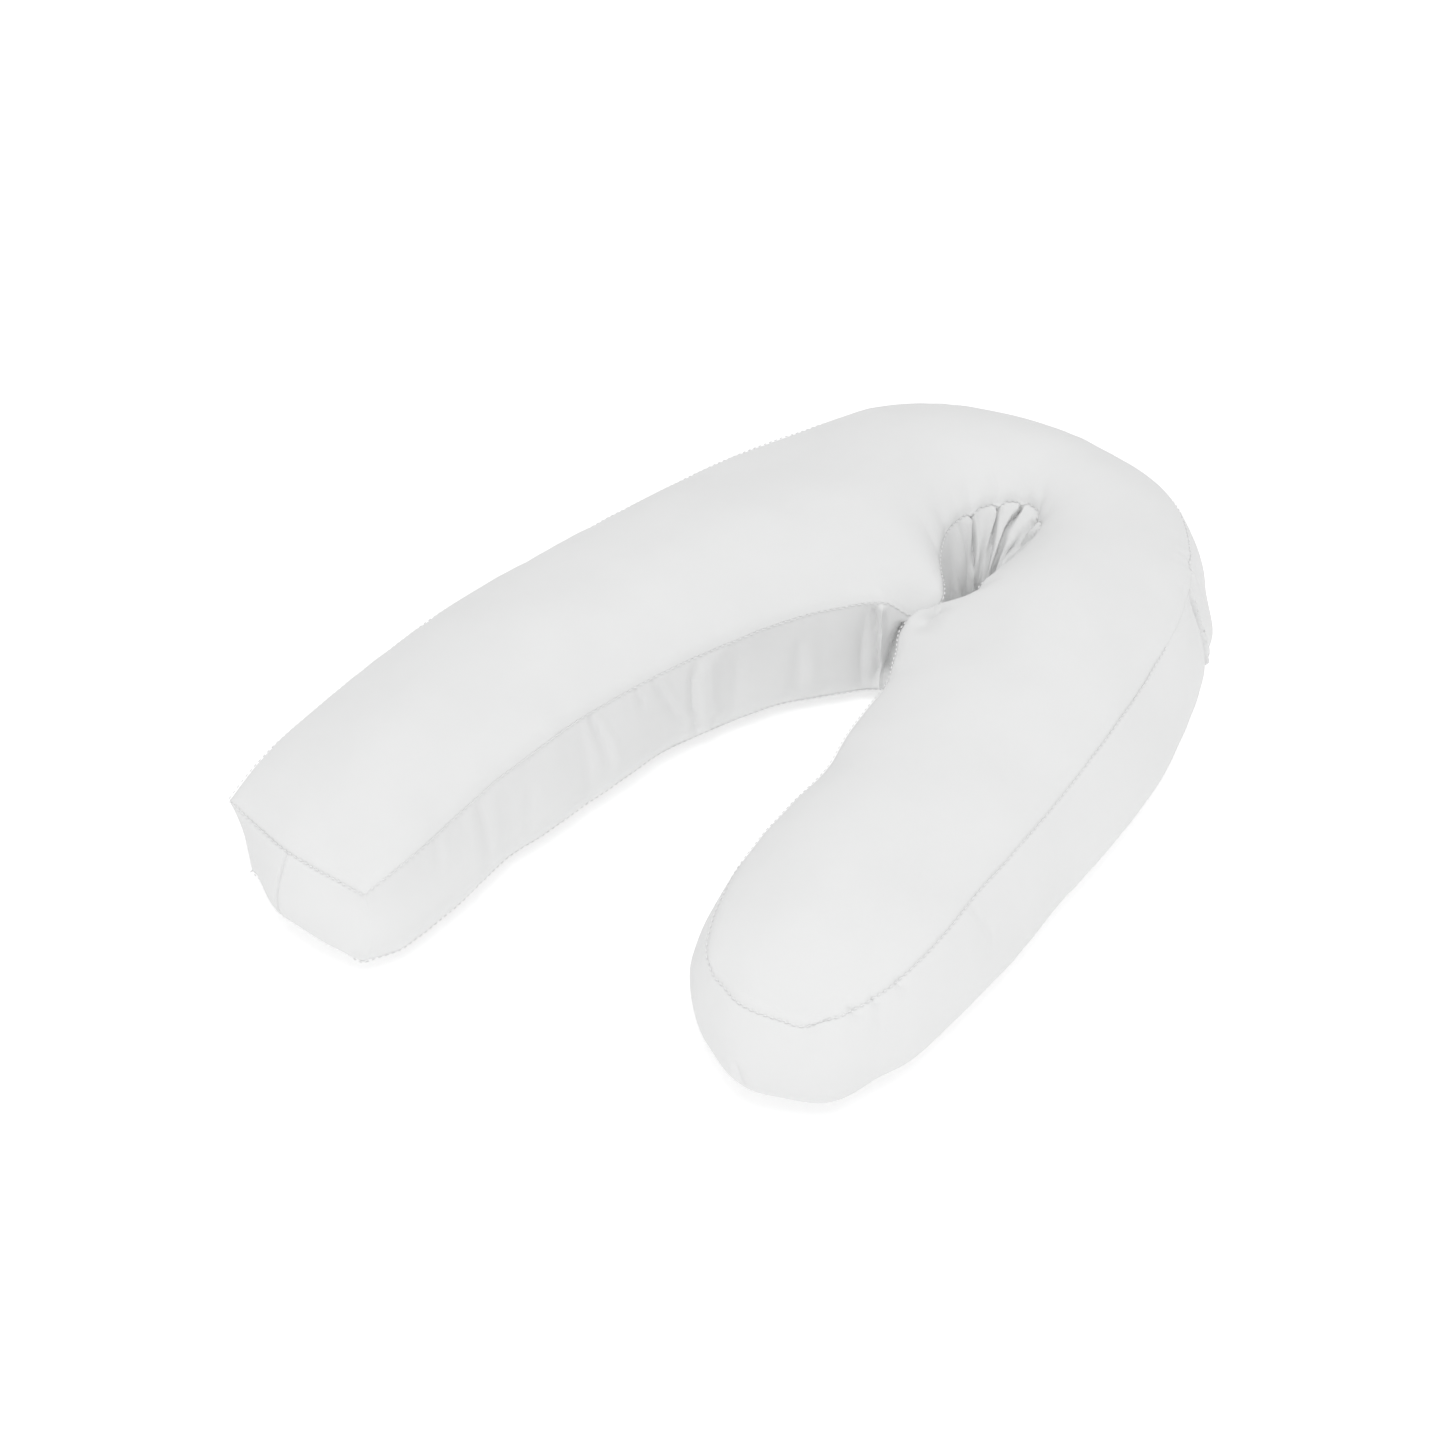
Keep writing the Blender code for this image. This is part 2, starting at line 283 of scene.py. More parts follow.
@dataclass(frozen=True)
class Form:
    """The filling's form: smooth surfaces drawn over a coarse cage, in millimetres."""

    crown_power: float = 2.4
    wall_fullness: float = 0.8
    wall_sag: float = 0.75
    undercut: float = 6.0
    end_undercut: float = 3.0
    bow_a: float = 6.0
    bow_b: float = 12.0
    end_bulge_a: float = 21.0
    end_bulge_b: float = 17.0
    step: float = 0.02
    pinch_foot: float = 0.9
    row_margin: float = 0.05
    floor_lift: float = 1.9
    centre_x: float = 12.32
    centre_y: float = 8.53

    def rows(self) -> list[float]:
        """Places of the cage's rows, with three for each pinch.

        Returns:
            The places in order, counted in rows of the table.
        """
        rows = []
        for index, section in enumerate(SECTIONS):
            rows += [index + step / section.steps for step in range(section.steps)]
        rows.append(LAST)
        for pinch in PINCHES:
            for place in (pinch.place - pinch.reach, pinch.place, pinch.place + pinch.reach):
                if min(abs(place - row) for row in rows) > self.row_margin:
                    rows.append(place)
        return sorted(rows)

    def section_at(self, place: float) -> Section:
        """The section at a place along the pillow, counted in rows of the table.

        Args:
            place: where it is, counted in rows of the table.

        Returns:
            The section, smoothed between the rows.
        """
        index = min(int(place), LAST - 1)
        near = [SECTIONS[min(max(index + step, 0), LAST)] for step in (-1, 0, 1, 2)]
        values = {}
        for column in Section._fields[1:-1]:
            values[column] = spline(*(getattr(row, column) for row in near), place - index)
        return Section(name=near[1].name, steps=1, **values)

    def pinch_depth(self, place: float, wall: Wall) -> float:
        """How far a wall is pinched in at a place.

        Args:
            place: where it is along the pillow.
            wall: the inner or the outer wall.

        Returns:
            The depth, which is 0 away from a pinch.
        """
        depth = 0.0
        for pinch in PINCHES:
            if pinch.wall == wall:
                share = abs(place - pinch.place) / (pinch.reach * self.pinch_foot)
                depth += pinch.depth * max(0.0, 1 - share)
        return depth

    def edges(self, section: Section, up: float) -> tuple[Vector, Vector]:
        """Inner and outer ends of a section at a share of the walls' height.

        Args:
            section: the cut across the pillow.
            up: share of the walls' height, from the bottom seam.

        Returns:
            The inner end and the outer end, on the floor plan.
        """
        inner = Vector((section.inner_x, section.inner_y, 0))
        outer = Vector((section.outer_x, section.outer_y, 0))
        across = (outer - inner).normalized() * (1 - up)
        return inner + across * self.undercut, outer + across * section.splay

    def end_shift(self, place: float, across: float, up: float) -> Vector:
        """How an arm's end bows out between its corners and slopes in below.

        Args:
            place: where it is along the pillow.
            across: share across the arm.
            up: share of the walls' height.

        Returns:
            The move along X.
        """
        shift = 0.0
        for near, bow in ((place, self.bow_a), (LAST - place, self.bow_b)):
            shift += (self.end_undercut * (1 - up) - bow * arch(across)) * max(0.0, 1 - near)
        return Vector((shift, 0, 0))

    def panel_point(self, place: float, across: float, is_top: bool) -> Vector:
        """A cage point of the filling under one of the panels.

        Args:
            place: where it is along the pillow.
            across: share across the arm.
            is_top: whether it is under the top panel.

        Returns:
            The point, in the plan's millimetres.
        """
        section = self.section_at(place)
        inner, outer = self.edges(section, float(is_top))
        point = inner.lerp(outer, across) + self.end_shift(place, across, float(is_top))
        if is_top:
            point.z = section.top + section.crown * (1 - abs(2 * across - 1) ** self.crown_power)
        else:
            on_floor = 0 < across < 1 and 0 < place < LAST
            point.z = self.floor_lift if on_floor else section.bottom
        return point

    def wall_point(self, place: float, across: float, up: float) -> Vector:
        """A cage point of the side band between its seams.

        Args:
            place: where it is along the pillow.
            across: 0 on the inner wall, 1 on the outer, between on an end.
            up: share of the walls' height.

        Returns:
            The point, in the plan's millimetres.
        """
        section = self.section_at(place)
        inner, outer = self.edges(section, up)
        bulge = math.sin(math.pi * up ** self.wall_sag) ** self.wall_fullness
        before = self.edges(self.section_at(max(place - self.step, 0)), up)[1]
        after = self.edges(self.section_at(min(place + self.step, LAST)), up)[1]
        along = after - before
        outward = Vector((-along.y, along.x, 0)).normalized()
        waist = Vector((section.waist_x, section.waist_y, 0))
        into = (outer - inner).normalized() * self.pinch_depth(place, Wall.INNER)
        inner_wall = inner.lerp(waist, bulge) + into * bulge
        stand = section.bulge - self.pinch_depth(place, Wall.OUTER)
        outer_wall = outer + outward * stand * bulge
        point = inner_wall.lerp(outer_wall, across) + self.end_shift(place, across, up)
        if 0 < across < 1:
            end_bulge = self.end_bulge_a if place == 0 else self.end_bulge_b
            point.x -= end_bulge * bulge * arch(across)
        point.z = section.bottom + (section.top - section.bottom) * up
        return point

    def panel_cage(self, is_top: bool) -> np.ndarray:
        """Cage points under a panel, a row for each cage row."""
        return np.array([[self.panel_point(place, across, is_top) for across in ACROSS]
                         for place in self.rows()])

    def band_cage(self) -> np.ndarray:
        """Cage points round the side band, from arm A's inner corner across its end.

        Returns:
            A row for each point round the band, with the points up the wall in it.
        """
        rows = self.rows()
        ring = [(0.0, across) for across in ACROSS]
        ring += [(place, 1.0) for place in rows[1:]]
        ring += [(rows[-1], across) for across in ACROSS[-2::-1]]
        ring += [(place, 0.0) for place in rows[-2:0:-1]]
        cage = []
        for place, across in ring:
            foot = self.panel_point(place, across, False)
            head = self.panel_point(place, across, True)
            sides = [self.wall_point(place, across, up) for up in UP[1:-1]]
            cage.append([foot, *sides, head])
        return np.array(cage)

    def to_model(self, points: np.ndarray) -> np.ndarray:
        """Points of the plan, in the model's metres."""
        return (points - np.array([self.centre_x, self.centre_y, 0.0])) * MM


@dataclass(frozen=True)
class Mesher:
    """How fine the grids are laid over the form, in millimetres."""

    outer_gap: float = 3.7
    inner_gap: float = 3.0
    hole_gap: float = 1.3
    hole_start: float = 7.8
    hole_end: float = 17.0
    first_gap: float = 0.5
    growth: float = 1.38
    widest_gap: float = 5.4
    widest_rise: float = 3.2
    join_width: float = 0.6
    join_steps: tuple[float, ...] = (-6, -3.4, -1.8, -0.7, 0, 0.7, 1.8, 3.4, 6)
    join_margin: float = 0.01
    panel_width: float = 150.0
    wall_rise: float = 104.0
    end_growth: float = 2.2
    end_reach: float = 9.0
    samples_up: int = 400
    samples_along: int = 6000

    def graded(self, length: float, widest: float) -> np.ndarray:
        """Shares of a length, close together at both ends and widest in the middle.

        Args:
            length: the whole length.
            widest: the gap in the middle.

        Returns:
            The shares, from 0 to 1.
        """
        gaps = []
        gap = self.first_gap
        while sum(gaps) * 2 < length and gap < widest:
            gaps.append(gap)
            gap *= self.growth
        middle = length - 2 * sum(gaps)
        count = max(1, round(middle / widest))
        gaps = gaps + [middle / count] * count + gaps[::-1]
        return np.concatenate([[0.0], np.cumsum(gaps)]) / sum(gaps)

    def across(self, join: float) -> np.ndarray:
        """Shares across an arm, with extra ones each side of the band's join.

        Args:
            join: the share at which the join stands.

        Returns:
            The shares, from 0 to 1.
        """
        even = self.graded(self.panel_width, self.widest_gap)
        near = join + np.array(self.join_steps) * (self.join_width / self.panel_width)
        margin = self.join_margin
        keep = even[(even < near[0] - margin) | (even > near[-1] + margin)]
        return np.sort(np.concatenate([keep, near]))

    def up(self, cage: np.ndarray) -> np.ndarray:
        """Levels up the walls, counted in cage points, spaced by their length on a wall.

        Args:
            cage: cage points round the side band.

        Returns:
            The levels, from the bottom seam.
        """
        fine = np.linspace(0, len(UP) - 1, self.samples_up)
        # A quarter of the way round, the cage is on the outer wall.
        wall = blend_weights(fine, len(UP)) @ cage[len(cage) // 4]
        rise = lengths_along(wall, 0)
        return np.interp(self.graded(self.wall_rise, self.widest_rise) * rise[-1], rise, fine)

    def places(self, form: Form, cage: np.ndarray) -> np.ndarray:
        """Places along the pillow, close together round the ear hole and at both ends.

        Args:
            form: the filling's form.
            cage: cage points under a panel.

        Returns:
            The places, counted in rows of the table.
        """
        rows = form.rows()
        fine = np.linspace(0, LAST, self.samples_along)
        index = index_in(rows, fine)
        edges = np.einsum("ir,rcx->icx", blend_weights(index, len(rows)), cage[:, [0, -1]])
        inner, outer = np.moveaxis(np.linalg.norm(np.diff(edges, axis=0), axis=-1), 1, 0)
        middle = (fine[1:] + fine[:-1]) / 2
        in_hole = (middle > self.hole_start) & (middle < self.hole_end)
        inner_gap = np.where(in_hole, self.hole_gap, self.inner_gap)
        density = np.maximum(inner / inner_gap, outer / self.outer_gap)
        to_end = np.minimum(np.cumsum(outer), np.cumsum(outer[::-1])[::-1])
        end_gap = self.first_gap * (1 + to_end / self.end_growth)
        density = np.maximum(density, outer / end_gap * (to_end < self.end_reach))
        count = np.concatenate([[0.0], np.cumsum(density)])
        return np.interp(np.linspace(0, count[-1], math.ceil(count[-1]) + 1), count, fine)


# How square a trough's sides are, where the lips stand and how wide they and the lean are. All
# but the first are counted in the crease's widths.
TROUGH_POWER = 1.5
LIP_AT = 2.2
LIP_WIDTH = 1.1
LEAN_WIDTH = 1.6


class Crease(NamedTuple):
    """A trough or ridge that runs up a wall of the band, or across a panel.

    The path gives its places along the pillow, or across it on an end wall, each with a share of
    the wall's height, in rising order; on a panel the second number is a share across the arm.
    Widths and depths are in millimetres at the path's two ends, and a ridge has negative ones.
    The lips are the rises beside it, on the sides of smaller and of larger places, as shares of
    the depth, and the eases are the shares of the path over which it starts and ends. The lean
    is how far the first lip hangs over the trough where that is deepest.
    """

    path: Path
    widths: Pair
    depths: Pair
    lips: Pair = (0.25, 0.25)
    eases: Pair = (0.3, 0.3)
    lean: float = 0.0

    def shows(self, span: np.ndarray) -> np.ndarray:
        """How much of the crease there is at shares of its run, from 0 to 1.

        Args:
            span: the second number of the path.

        Returns:
            Shares of the full depth.
        """
        low, high = self.path[0][1], self.path[-1][1]
        start, end = ((high - low) * ease for ease in self.eases)
        return eased_between(span, low, high, (start, end))

    def between(self, ends: Pair, span: np.ndarray) -> np.ndarray:
        """A size that changes evenly from the path's low end to its high end."""
        return np.interp(span, (self.path[0][1], self.path[-1][1]), ends)

    def height(self, offset: np.ndarray, span: np.ndarray) -> np.ndarray:
        """Rise of the cloth at distances from the crease's line and shares of its run.

        Args:
            offset: distances from the line.
            span: the second number of the path.

        Returns:
            The rise.
        """
        from_line = offset / self.between(self.widths, span)
        rise = -np.exp(-np.abs(from_line) ** TROUGH_POWER)
        for side, lip in zip((-1, 1), self.lips):
            rise = rise + lip * np.exp(-((from_line - LIP_AT * side) / LIP_WIDTH) ** 2)
        return rise * self.between(self.depths, span) * self.shows(span)

    def shift(self, offset: np.ndarray, span: np.ndarray) -> np.ndarray:
        """How far the lip on the side of smaller places leans over the trough.

        Args:
            offset: distances from the line.
            span: the second number of the path.

        Returns:
            The lean.
        """
        from_line = offset / self.between(self.widths, span)
        lean = self.lean * self.between(self.depths, span) / max(self.depths)
        return lean * np.exp(-((from_line + LIP_AT) / LEAN_WIDTH) ** 2) * self.shows(span)


CREASES: dict[Wall | Panel, dict[str, Crease]] = {
    Wall.INNER: {
        # The neck: a standing fold where arm A turns in, with the cloth sunk beside it.
        "neck_fold": Crease(((8.11, 0.0), (8.05, 0.5), (8.0, 1.0)), (2.6, 2.2), (-5.0, -4.2),
            (0.0, 0.0), (0.1, 0.05)),
        "neck_hollow": Crease(((8.03, 0.05), (7.985, 0.55), (7.955, 0.98)), (5.0, 2.2), (7.0, 5.0),
            (0.0, 0.0), (0.2, 0.12)),
        "neck_slit": Crease(((8.18, 0.06), (8.19, 0.37), (8.24, 0.5), (8.31, 0.68), (8.38, 0.81),
            (8.45, 0.93)), (4.6, 4.8), (15.0, 18.0), (0.0, 0.0), (0.12, 0.12)),
        # Arm A's inner wall, from the neck to its end.
        "wall_a_1": Crease(((6.86, 0.1), (6.8, 0.85)), (5.0, 4.0), (1.6, 1.2), (0.2, 0.6)),
        "wall_a_2": Crease(((5.5, 0.0), (5.4, 0.4), (5.37, 0.7), (5.43, 1.0)), (4.0, 2.6), (3.4, 2.2),
            (0.1, 0.7), (0.2, 0.18)),
        "wall_a_2_ridge": Crease(((5.78, 0.15), (5.62, 0.55), (5.62, 1.0)), (7.0, 6.0), (-3.6, -3.2),
            (0.0, 0.0), (0.3, 0.2)),
        "wall_a_3": Crease(((5.36, 0.2), (5.1, 0.6), (4.9, 1.0)), (4.0, 2.4), (1.8, 1.6), (0.2, 0.5),
            (0.3, 0.05)),
        "wall_a_4": Crease(((4.75, 0.72), (4.66, 1.0)), (2.4, 1.8), (1.4, 1.2), (0.3, 0.4),
            (0.4, 0.05)),
        "wall_a_5": Crease(((4.11, 0.25), (4.0, 0.65), (3.98, 1.0)), (4.5, 2.4), (1.8, 1.6), (0.5, 0.6),
            (0.4, 0.05)),
        "wall_a_6": Crease(((2.36, 0.1), (2.39, 1.0)), (6.0, 4.0), (1.8, 1.2), (0.3, 0.3), (0.3, 0.1)),
        "wall_a_7": Crease(((3.05, 0.15), (3.1, 0.8)), (6.0, 5.0), (1.2, 1.0)),
        "wall_a_8": Crease(((1.6, 0.55), (1.62, 1.0)), (4.0, 3.0), (0.9, 0.9), (0.3, 0.3), (0.4, 0.05)),
        # Pleats down the wall of the ear hole, drawn towards one point low in it.
        "pleat_1": Crease(((12.45, 0.12), (12.25, 0.45), (11.94, 0.66), (11.66, 1.0)), (2.0, 1.4),
            (1.0, 9.0), (0.1, 0.1), (0.5, 0.03), 2.2),
        "pleat_2": Crease(((12.7, 0.1), (12.52, 0.57), (12.43, 0.73), (12.31, 1.0)), (2.0, 1.3),
            (1.0, 8.4), (0.12, 0.1), (0.5, 0.03), 2.2),
        "pleat_3": Crease(((12.85, 0.2), (12.75, 0.6), (12.7, 0.82), (12.9, 1.0)), (2.0, 1.4),
            (0.8, 9.0), (0.1, 0.1), (0.5, 0.03), 2.2),
        "pleat_4": Crease(((12.92, 0.45), (13.1, 0.7), (13.2, 0.765), (13.36, 0.86), (13.44, 0.92),
            (13.63, 1.0)), (2.4, 2.0), (2.4, 6.5), (0.1, 0.1), (0.4, 0.05), 2.0),
        "pleat_5": Crease(((13.33, 0.68), (13.4, 0.768), (13.5, 0.82), (13.68, 0.87), (13.9, 0.925),
            (14.0, 0.96)), (2.6, 2.6), (6.5, 6.5), (0.1, 0.1), (0.35, 0.3), 2.0),
        "pleat_6": Crease(((12.2, 0.15), (11.5, 0.5), (10.9, 0.85)), (3.0, 3.0), (1.8, 1.2), (0.4, 0.4),
            (0.3, 0.4)),
        "pleat_7": Crease(((11.9, 0.1), (10.9, 0.42), (10.2, 0.7)), (3.0, 3.0), (1.6, 1.0), (0.4, 0.4),
            (0.3, 0.4)),
        "pleat_8": Crease(((12.1, 0.3), (11.85, 0.62), (11.3, 1.0)), (2.4, 2.0), (1.6, 1.4), (0.3, 0.3),
            (0.3, 0.1)),
        "pleat_9": Crease(((15.2, 0.1), (15.0, 0.9)), (4.0, 3.0), (2.0, 1.4)),
        "pleat_10": Crease(((14.4, 0.1), (14.5, 0.9)), (4.0, 3.0), (2.4, 1.6)),
    },
    Wall.OUTER: {
        # The bend's outer wall: a deep slanted tuck, and a fold beside it.
        "tuck": Crease(((16.22, 0.3), (16.18, 0.46), (16.11, 0.7), (16.06, 0.88), (16.0, 1.0)),
            (2.8, 2.6), (13.0, 9.0), (0.35, 0.0), (0.25, 0.12), 9.0),
        "tuck_side": Crease(((15.8, 0.55), (15.6, 1.0)), (3.0, 1.6), (2.0, 1.8), (0.3, 0.2),
            (0.4, 0.04)),
        # Arm B's outer wall.
        "wall_b_1": Crease(((20.87, 0.5), (20.7, 0.7), (20.78, 1.0)), (3.2, 2.0), (0.7, 1.0),
            (0.3, 0.2), (0.4, 0.05)),
        "wall_b_2": Crease(((22.02, 0.72), (21.93, 1.0)), (2.6, 1.8), (0.6, 0.8), (0.3, 0.2),
            (0.4, 0.05)),
        "wall_b_3": Crease(((22.42, 0.6), (22.28, 1.0)), (3.4, 2.4), (0.6, 0.9), (0.3, 0.2),
            (0.4, 0.05)),
    },
    Wall.END_B: {
        "end_b_fold": Crease(((0.56, 0.32), (0.5, 0.58)), (3.0, 2.6), (2.4, 2.0)),
    },
    Wall.END_A: {
        # The band's join, up the end of arm A.
        "join": Crease(((0.513, -0.1), (0.513, 1.1)), (1.0, 1.0), (1.9, 1.9), (0.2, 0.2), (0.01, 0.01)),
    },
    Panel.TOP: {
        # Troughs that run out over the panel from the hole's rim.
        **{f"rim_{number}": Crease(path, widths, depths, (0.3, 0.3), (0.04, 0.7))
           for number, (path, widths, depths) in enumerate((
               (((10.1, 0.0), (9.9, 0.24)), (5, 11), (0.6, 0.5)),
               (((10.85, 0.0), (10.7, 0.2)), (4.5, 9), (0.6, 0.5)),
               (((11.35, 0.0), (11.2, 0.14)), (3.4, 7), (0.6, 0.4)),
               (((11.66, 0.0), (11.62, 0.22)), (3.2, 8), (1.1, 0.6)),
               (((12.31, 0.0), (12.2, 0.26)), (3.0, 8), (1.3, 0.7)),
               (((12.9, 0.0), (12.68, 0.24)), (3.0, 8), (1.1, 0.7)),
               (((13.62, 0.0), (13.2, 0.18)), (2.8, 7), (0.9, 0.5)),
               (((14.05, 0.0), (14.05, 0.14)), (3.0, 6), (0.7, 0.4))), 1)},
        # The pucker at the seam above the tuck.
        "tuck_top": Crease(((15.54, 0.89), (15.62, 1.0)), (3.0, 1.6), (0.7, 1.6), (0.2, 0.2),
            (0.5, 0.04)),
        "tuck_top_side": Crease(((15.86, 0.9), (15.75, 1.0)), (3.0, 1.8), (0.5, 1.2), (0.2, 0.2),
            (0.5, 0.04)),
    },
    Panel.BOTTOM: {},
}


class Dent(NamedTuple):
    """A soft trough in a panel along a line of its own, with sizes in millimetres.

    The path gives places along the pillow, each with a share across the arm. A negative depth
    makes a ridge.
    """

    name: str
    panel: Panel
    path: Path
    width: float
    depth: float
    ease: float = 0.3

    def height(self, grid: np.ndarray, line: np.ndarray) -> np.ndarray:
        """Rise of the cloth at each point of a grid, from the trough's line.

        Args:
            grid: points of the panel.
            line: points along the trough.

        Returns:
            The rise.
        """
        shares = np.linspace(0, 1, len(line))
        shows = eased_between(shares, 0, 1, (self.ease, self.ease))
        away = np.linalg.norm(grid[:, :, None] - line, axis=-1)
        nearest = np.argmin(away, axis=-1)
        nearness = np.exp(-(np.min(away, axis=-1) / self.width) ** 2)
        return -self.depth * nearness * shows[nearest]


DENTS = (
    Dent("shoulder_dimple", Panel.TOP, ((16.98, 0.063), (17.14, 0.061), (17.25, 0.062),
         (17.36, 0.062), (17.6, 0.068), (17.85, 0.074)), 3.6, 10.6),
    Dent("shoulder_bridge", Panel.TOP, ((17.1, 0.022), (17.35, 0.026), (17.6, 0.022)), 4.0, -2.2),
)
# How many points of a dent's line are worked out for each point of its path.
DENT_STEPS = 8


class Push(NamedTuple):
    """A soft push on the cotton beside a seam, eased out along the seam and away from it.

    The place counts along the pillow, or across it on an end wall. Height and spread are shares
    of the wall's height. Reach is how far the push carries round the band, and depth how far it
    carries into the panel. The push is along X, Y and Z, all in millimetres. A larger flat
    keeps the push full for longer.
    """

    name: str
    wall: Wall
    place: float
    reach: float
    height: float
    spread: float
    depth: float
    push: Triple
    flat: float = 2.0

    def round_band(self, distance: np.ndarray) -> np.ndarray:
        """Share of the push at distances round the band from its middle."""
        return np.clip(1 - (distance / self.reach) ** self.flat, 0.0, 1.0) ** 2

    def up_wall(self, share: np.ndarray | float) -> np.ndarray | float:
        """Share of the push at shares of the wall's height."""
        return np.exp(-((share - self.height) / self.spread) ** 2)


# The order counts, because each push starts from the cotton as the ones before it left it.
PUSHES = (
    Push("fuller_outer_a", Wall.OUTER, 4.4, 330, 0.75, 0.9, 80, (-0.8, 3.8, 0.0), 4.0),
    Push("fuller_bend_1", Wall.OUTER, 11.1, 85, 0.75, 0.9, 110, (2.4, 5.0, 0.0)),
    Push("slimmer_bend", Wall.OUTER, 13.1, 70, 0.75, 0.9, 90, (-2.0, -1.6, 0.0)),
    Push("fuller_bend_2", Wall.OUTER, 14.4, 70, 0.75, 0.9, 70, (5.6, -0.4, 0.0)),
    Push("fuller_bend_3", Wall.OUTER, 15.86, 32, 0.32, 0.28, 30, (4.0, -4.6, 0.0)),
    Push("slimmer_bend_b", Wall.OUTER, 19.6, 70, 0.4, 0.5, 40, (-0.5, 1.2, 0.0)),
    Push("slimmer_outer_b", Wall.OUTER, 21.2, 60, 0.5, 0.5, 40, (0.6, 3.0, 0.0)),
    Push("fuller_corner_b", Wall.END_B, 0.98, 38, 0.12, 0.4, 30, (-2.0, -4.8, 0.0)),
    Push("slimmer_end_b", Wall.END_B, 0.12, 55, 0.46, 0.28, 25, (8.0, -1.0, 0.0)),
    Push("fuller_inner_b", Wall.INNER, 21.2, 110, 0.9, 0.6, 80, (-1.4, 4.4, 0.0), 3.0),
    Push("fuller_inner_b_2", Wall.INNER, 19.3, 50, 0.8, 0.6, 60, (0.0, 5.0, 0.0)),
    Push("fuller_inner_a_1", Wall.INNER, 1.3, 90, 0.2, 0.5, 60, (0.0, -4.6, 0.0), 4.0),
    Push("fuller_inner_a_2", Wall.INNER, 3.9, 80, 0.2, 0.5, 60, (0.0, -6.4, 0.0), 3.0),
    Push("fuller_neck_a", Wall.INNER, 7.7, 55, 0.05, 0.35, 50, (-1.2, -4.0, 0.0)),
    Push("fuller_corner_a", Wall.END_A, 0.08, 50, 0.05, 0.4, 40, (-6.0, -3.6, 0.0)),
    Push("slimmer_end_a", Wall.END_A, 0.9, 50, 0.5, 0.42, 30, (6.0, 0.4, 0.0)),
    Push("neck_shoulder", Wall.INNER, 17.3, 42, 0.97, 0.4, 60, (-1.0, 14.0, 0.0)),
    Push("neck_side", Wall.INNER, 18.1, 78, 0.9, 0.5, 70, (0.0, 5.0, 0.0)),
    Push("neck_side_2", Wall.INNER, 17.86, 40, 0.95, 0.45, 50, (-1.0, 8.0, 0.0)),
    Push("neck_lip", Wall.INNER, 8.55, 24, 1.0, 0.3, 30, (0.0, -2.0, -12.0)),
    Push("tip_notch", Wall.INNER, 16.6, 18, 1.0, 0.4, 26, (-1.0, -9.5, -3.0)),
    Push("pleat_1_top", Wall.INNER, 11.66, 5.0, 1.0, 0.12, 12, (-1.0, -1.6, -1.6)),
    Push("pleat_2_top", Wall.INNER, 12.31, 4.0, 1.0, 0.12, 12, (-1.6, -1.2, -1.6)),
    Push("pleat_3_top", Wall.INNER, 12.9, 4.0, 1.0, 0.12, 12, (-2.0, -0.4, -1.4)),
    Push("pleat_4_top", Wall.INNER, 13.64, 4.0, 1.0, 0.12, 12, (-1.4, 1.2, -1.2)),
    Push("round_corner_a", Wall.END_A, 0.0, 24, 0.0, 0.3, 24, (-1.5, 6.0, 0.0)),
    Push("seam_outer_b", Wall.OUTER, 21.9, 90, 1.0, 0.35, 60, (0.0, -4.6, 0.0), 3.0),
    Push("seam_outer_b_2", Wall.OUTER, 19.6, 150, 1.0, 0.35, 60, (0.0, -3.5, 0.0)),
    Push("seam_corner_b", Wall.END_B, 0.95, 30, 1.0, 0.3, 30, (-2.0, -1.4, 0.0)),
    Push("seam_end_b", Wall.END_B, 0.0, 60, 1.0, 0.35, 40, (-2.0, 2.6, 0.0)),
    Push("seam_end_b_2", Wall.END_B, 0.11, 30, 1.0, 0.3, 30, (4.6, 2.8, 0.0)),
    Push("round_corner_b_1", Wall.END_B, 0.02, 16, 1.0, 0.3, 20, (3.0, 1.5, 0.0)),
    Push("round_corner_b_2", Wall.END_B, 0.98, 16, 1.0, 0.3, 20, (2.0, 2.0, 0.0)),
    Push("nick_b_1", Wall.END_B, 0.96, 4.0, 1.0, 0.08, 8, (0.4, 0.8, -1.4)),
    Push("nick_b_2", Wall.OUTER, 22.59, 4.0, 1.0, 0.08, 8, (0.0, 1.5, -1.4)),
    Push("nick_b_3", Wall.OUTER, 22.28, 3.5, 1.0, 0.08, 7, (0.0, 1.3, -1.2)),
    Push("nick_b_4", Wall.OUTER, 21.95, 3.5, 1.0, 0.08, 7, (0.0, 1.1, -1.0)),
    Push("tuck_top", Wall.OUTER, 15.6, 9.0, 1.0, 0.12, 14, (-0.8, 1.4, -1.0)),
)


# How a seed's number is turned into a shift of the noise along each axis.
NOISE_STEPS = (17.3, 5.9, 11.1)


def soft_noise(points: np.ndarray, size: float, seed: float) -> np.ndarray:
    """Smooth noise from -1 to 1 at points in millimetres, whose lumps are about one size wide.

    Args:
        points: where to read the noise.
        size: how wide its lumps are.
        seed: which noise it is.

    Returns:
        A value for each point, from -1 to 1.
    """
    shift = Vector([seed * step for step in NOISE_STEPS])
    flat = points.reshape(-1, points.shape[-1]) / size
    values = [noise.noise(Vector(point) + shift) for point in flat]
    return np.array(values).reshape(points.shape[:-1])


def noise_along(run: np.ndarray, aside: np.ndarray, seed: float) -> np.ndarray:
    """Smooth noise from -1 to 1, at places along a seam and aside from it, counted in lumps."""
    return soft_noise(np.stack([run, aside, run * 0.0], axis=-1), 1.0, seed)


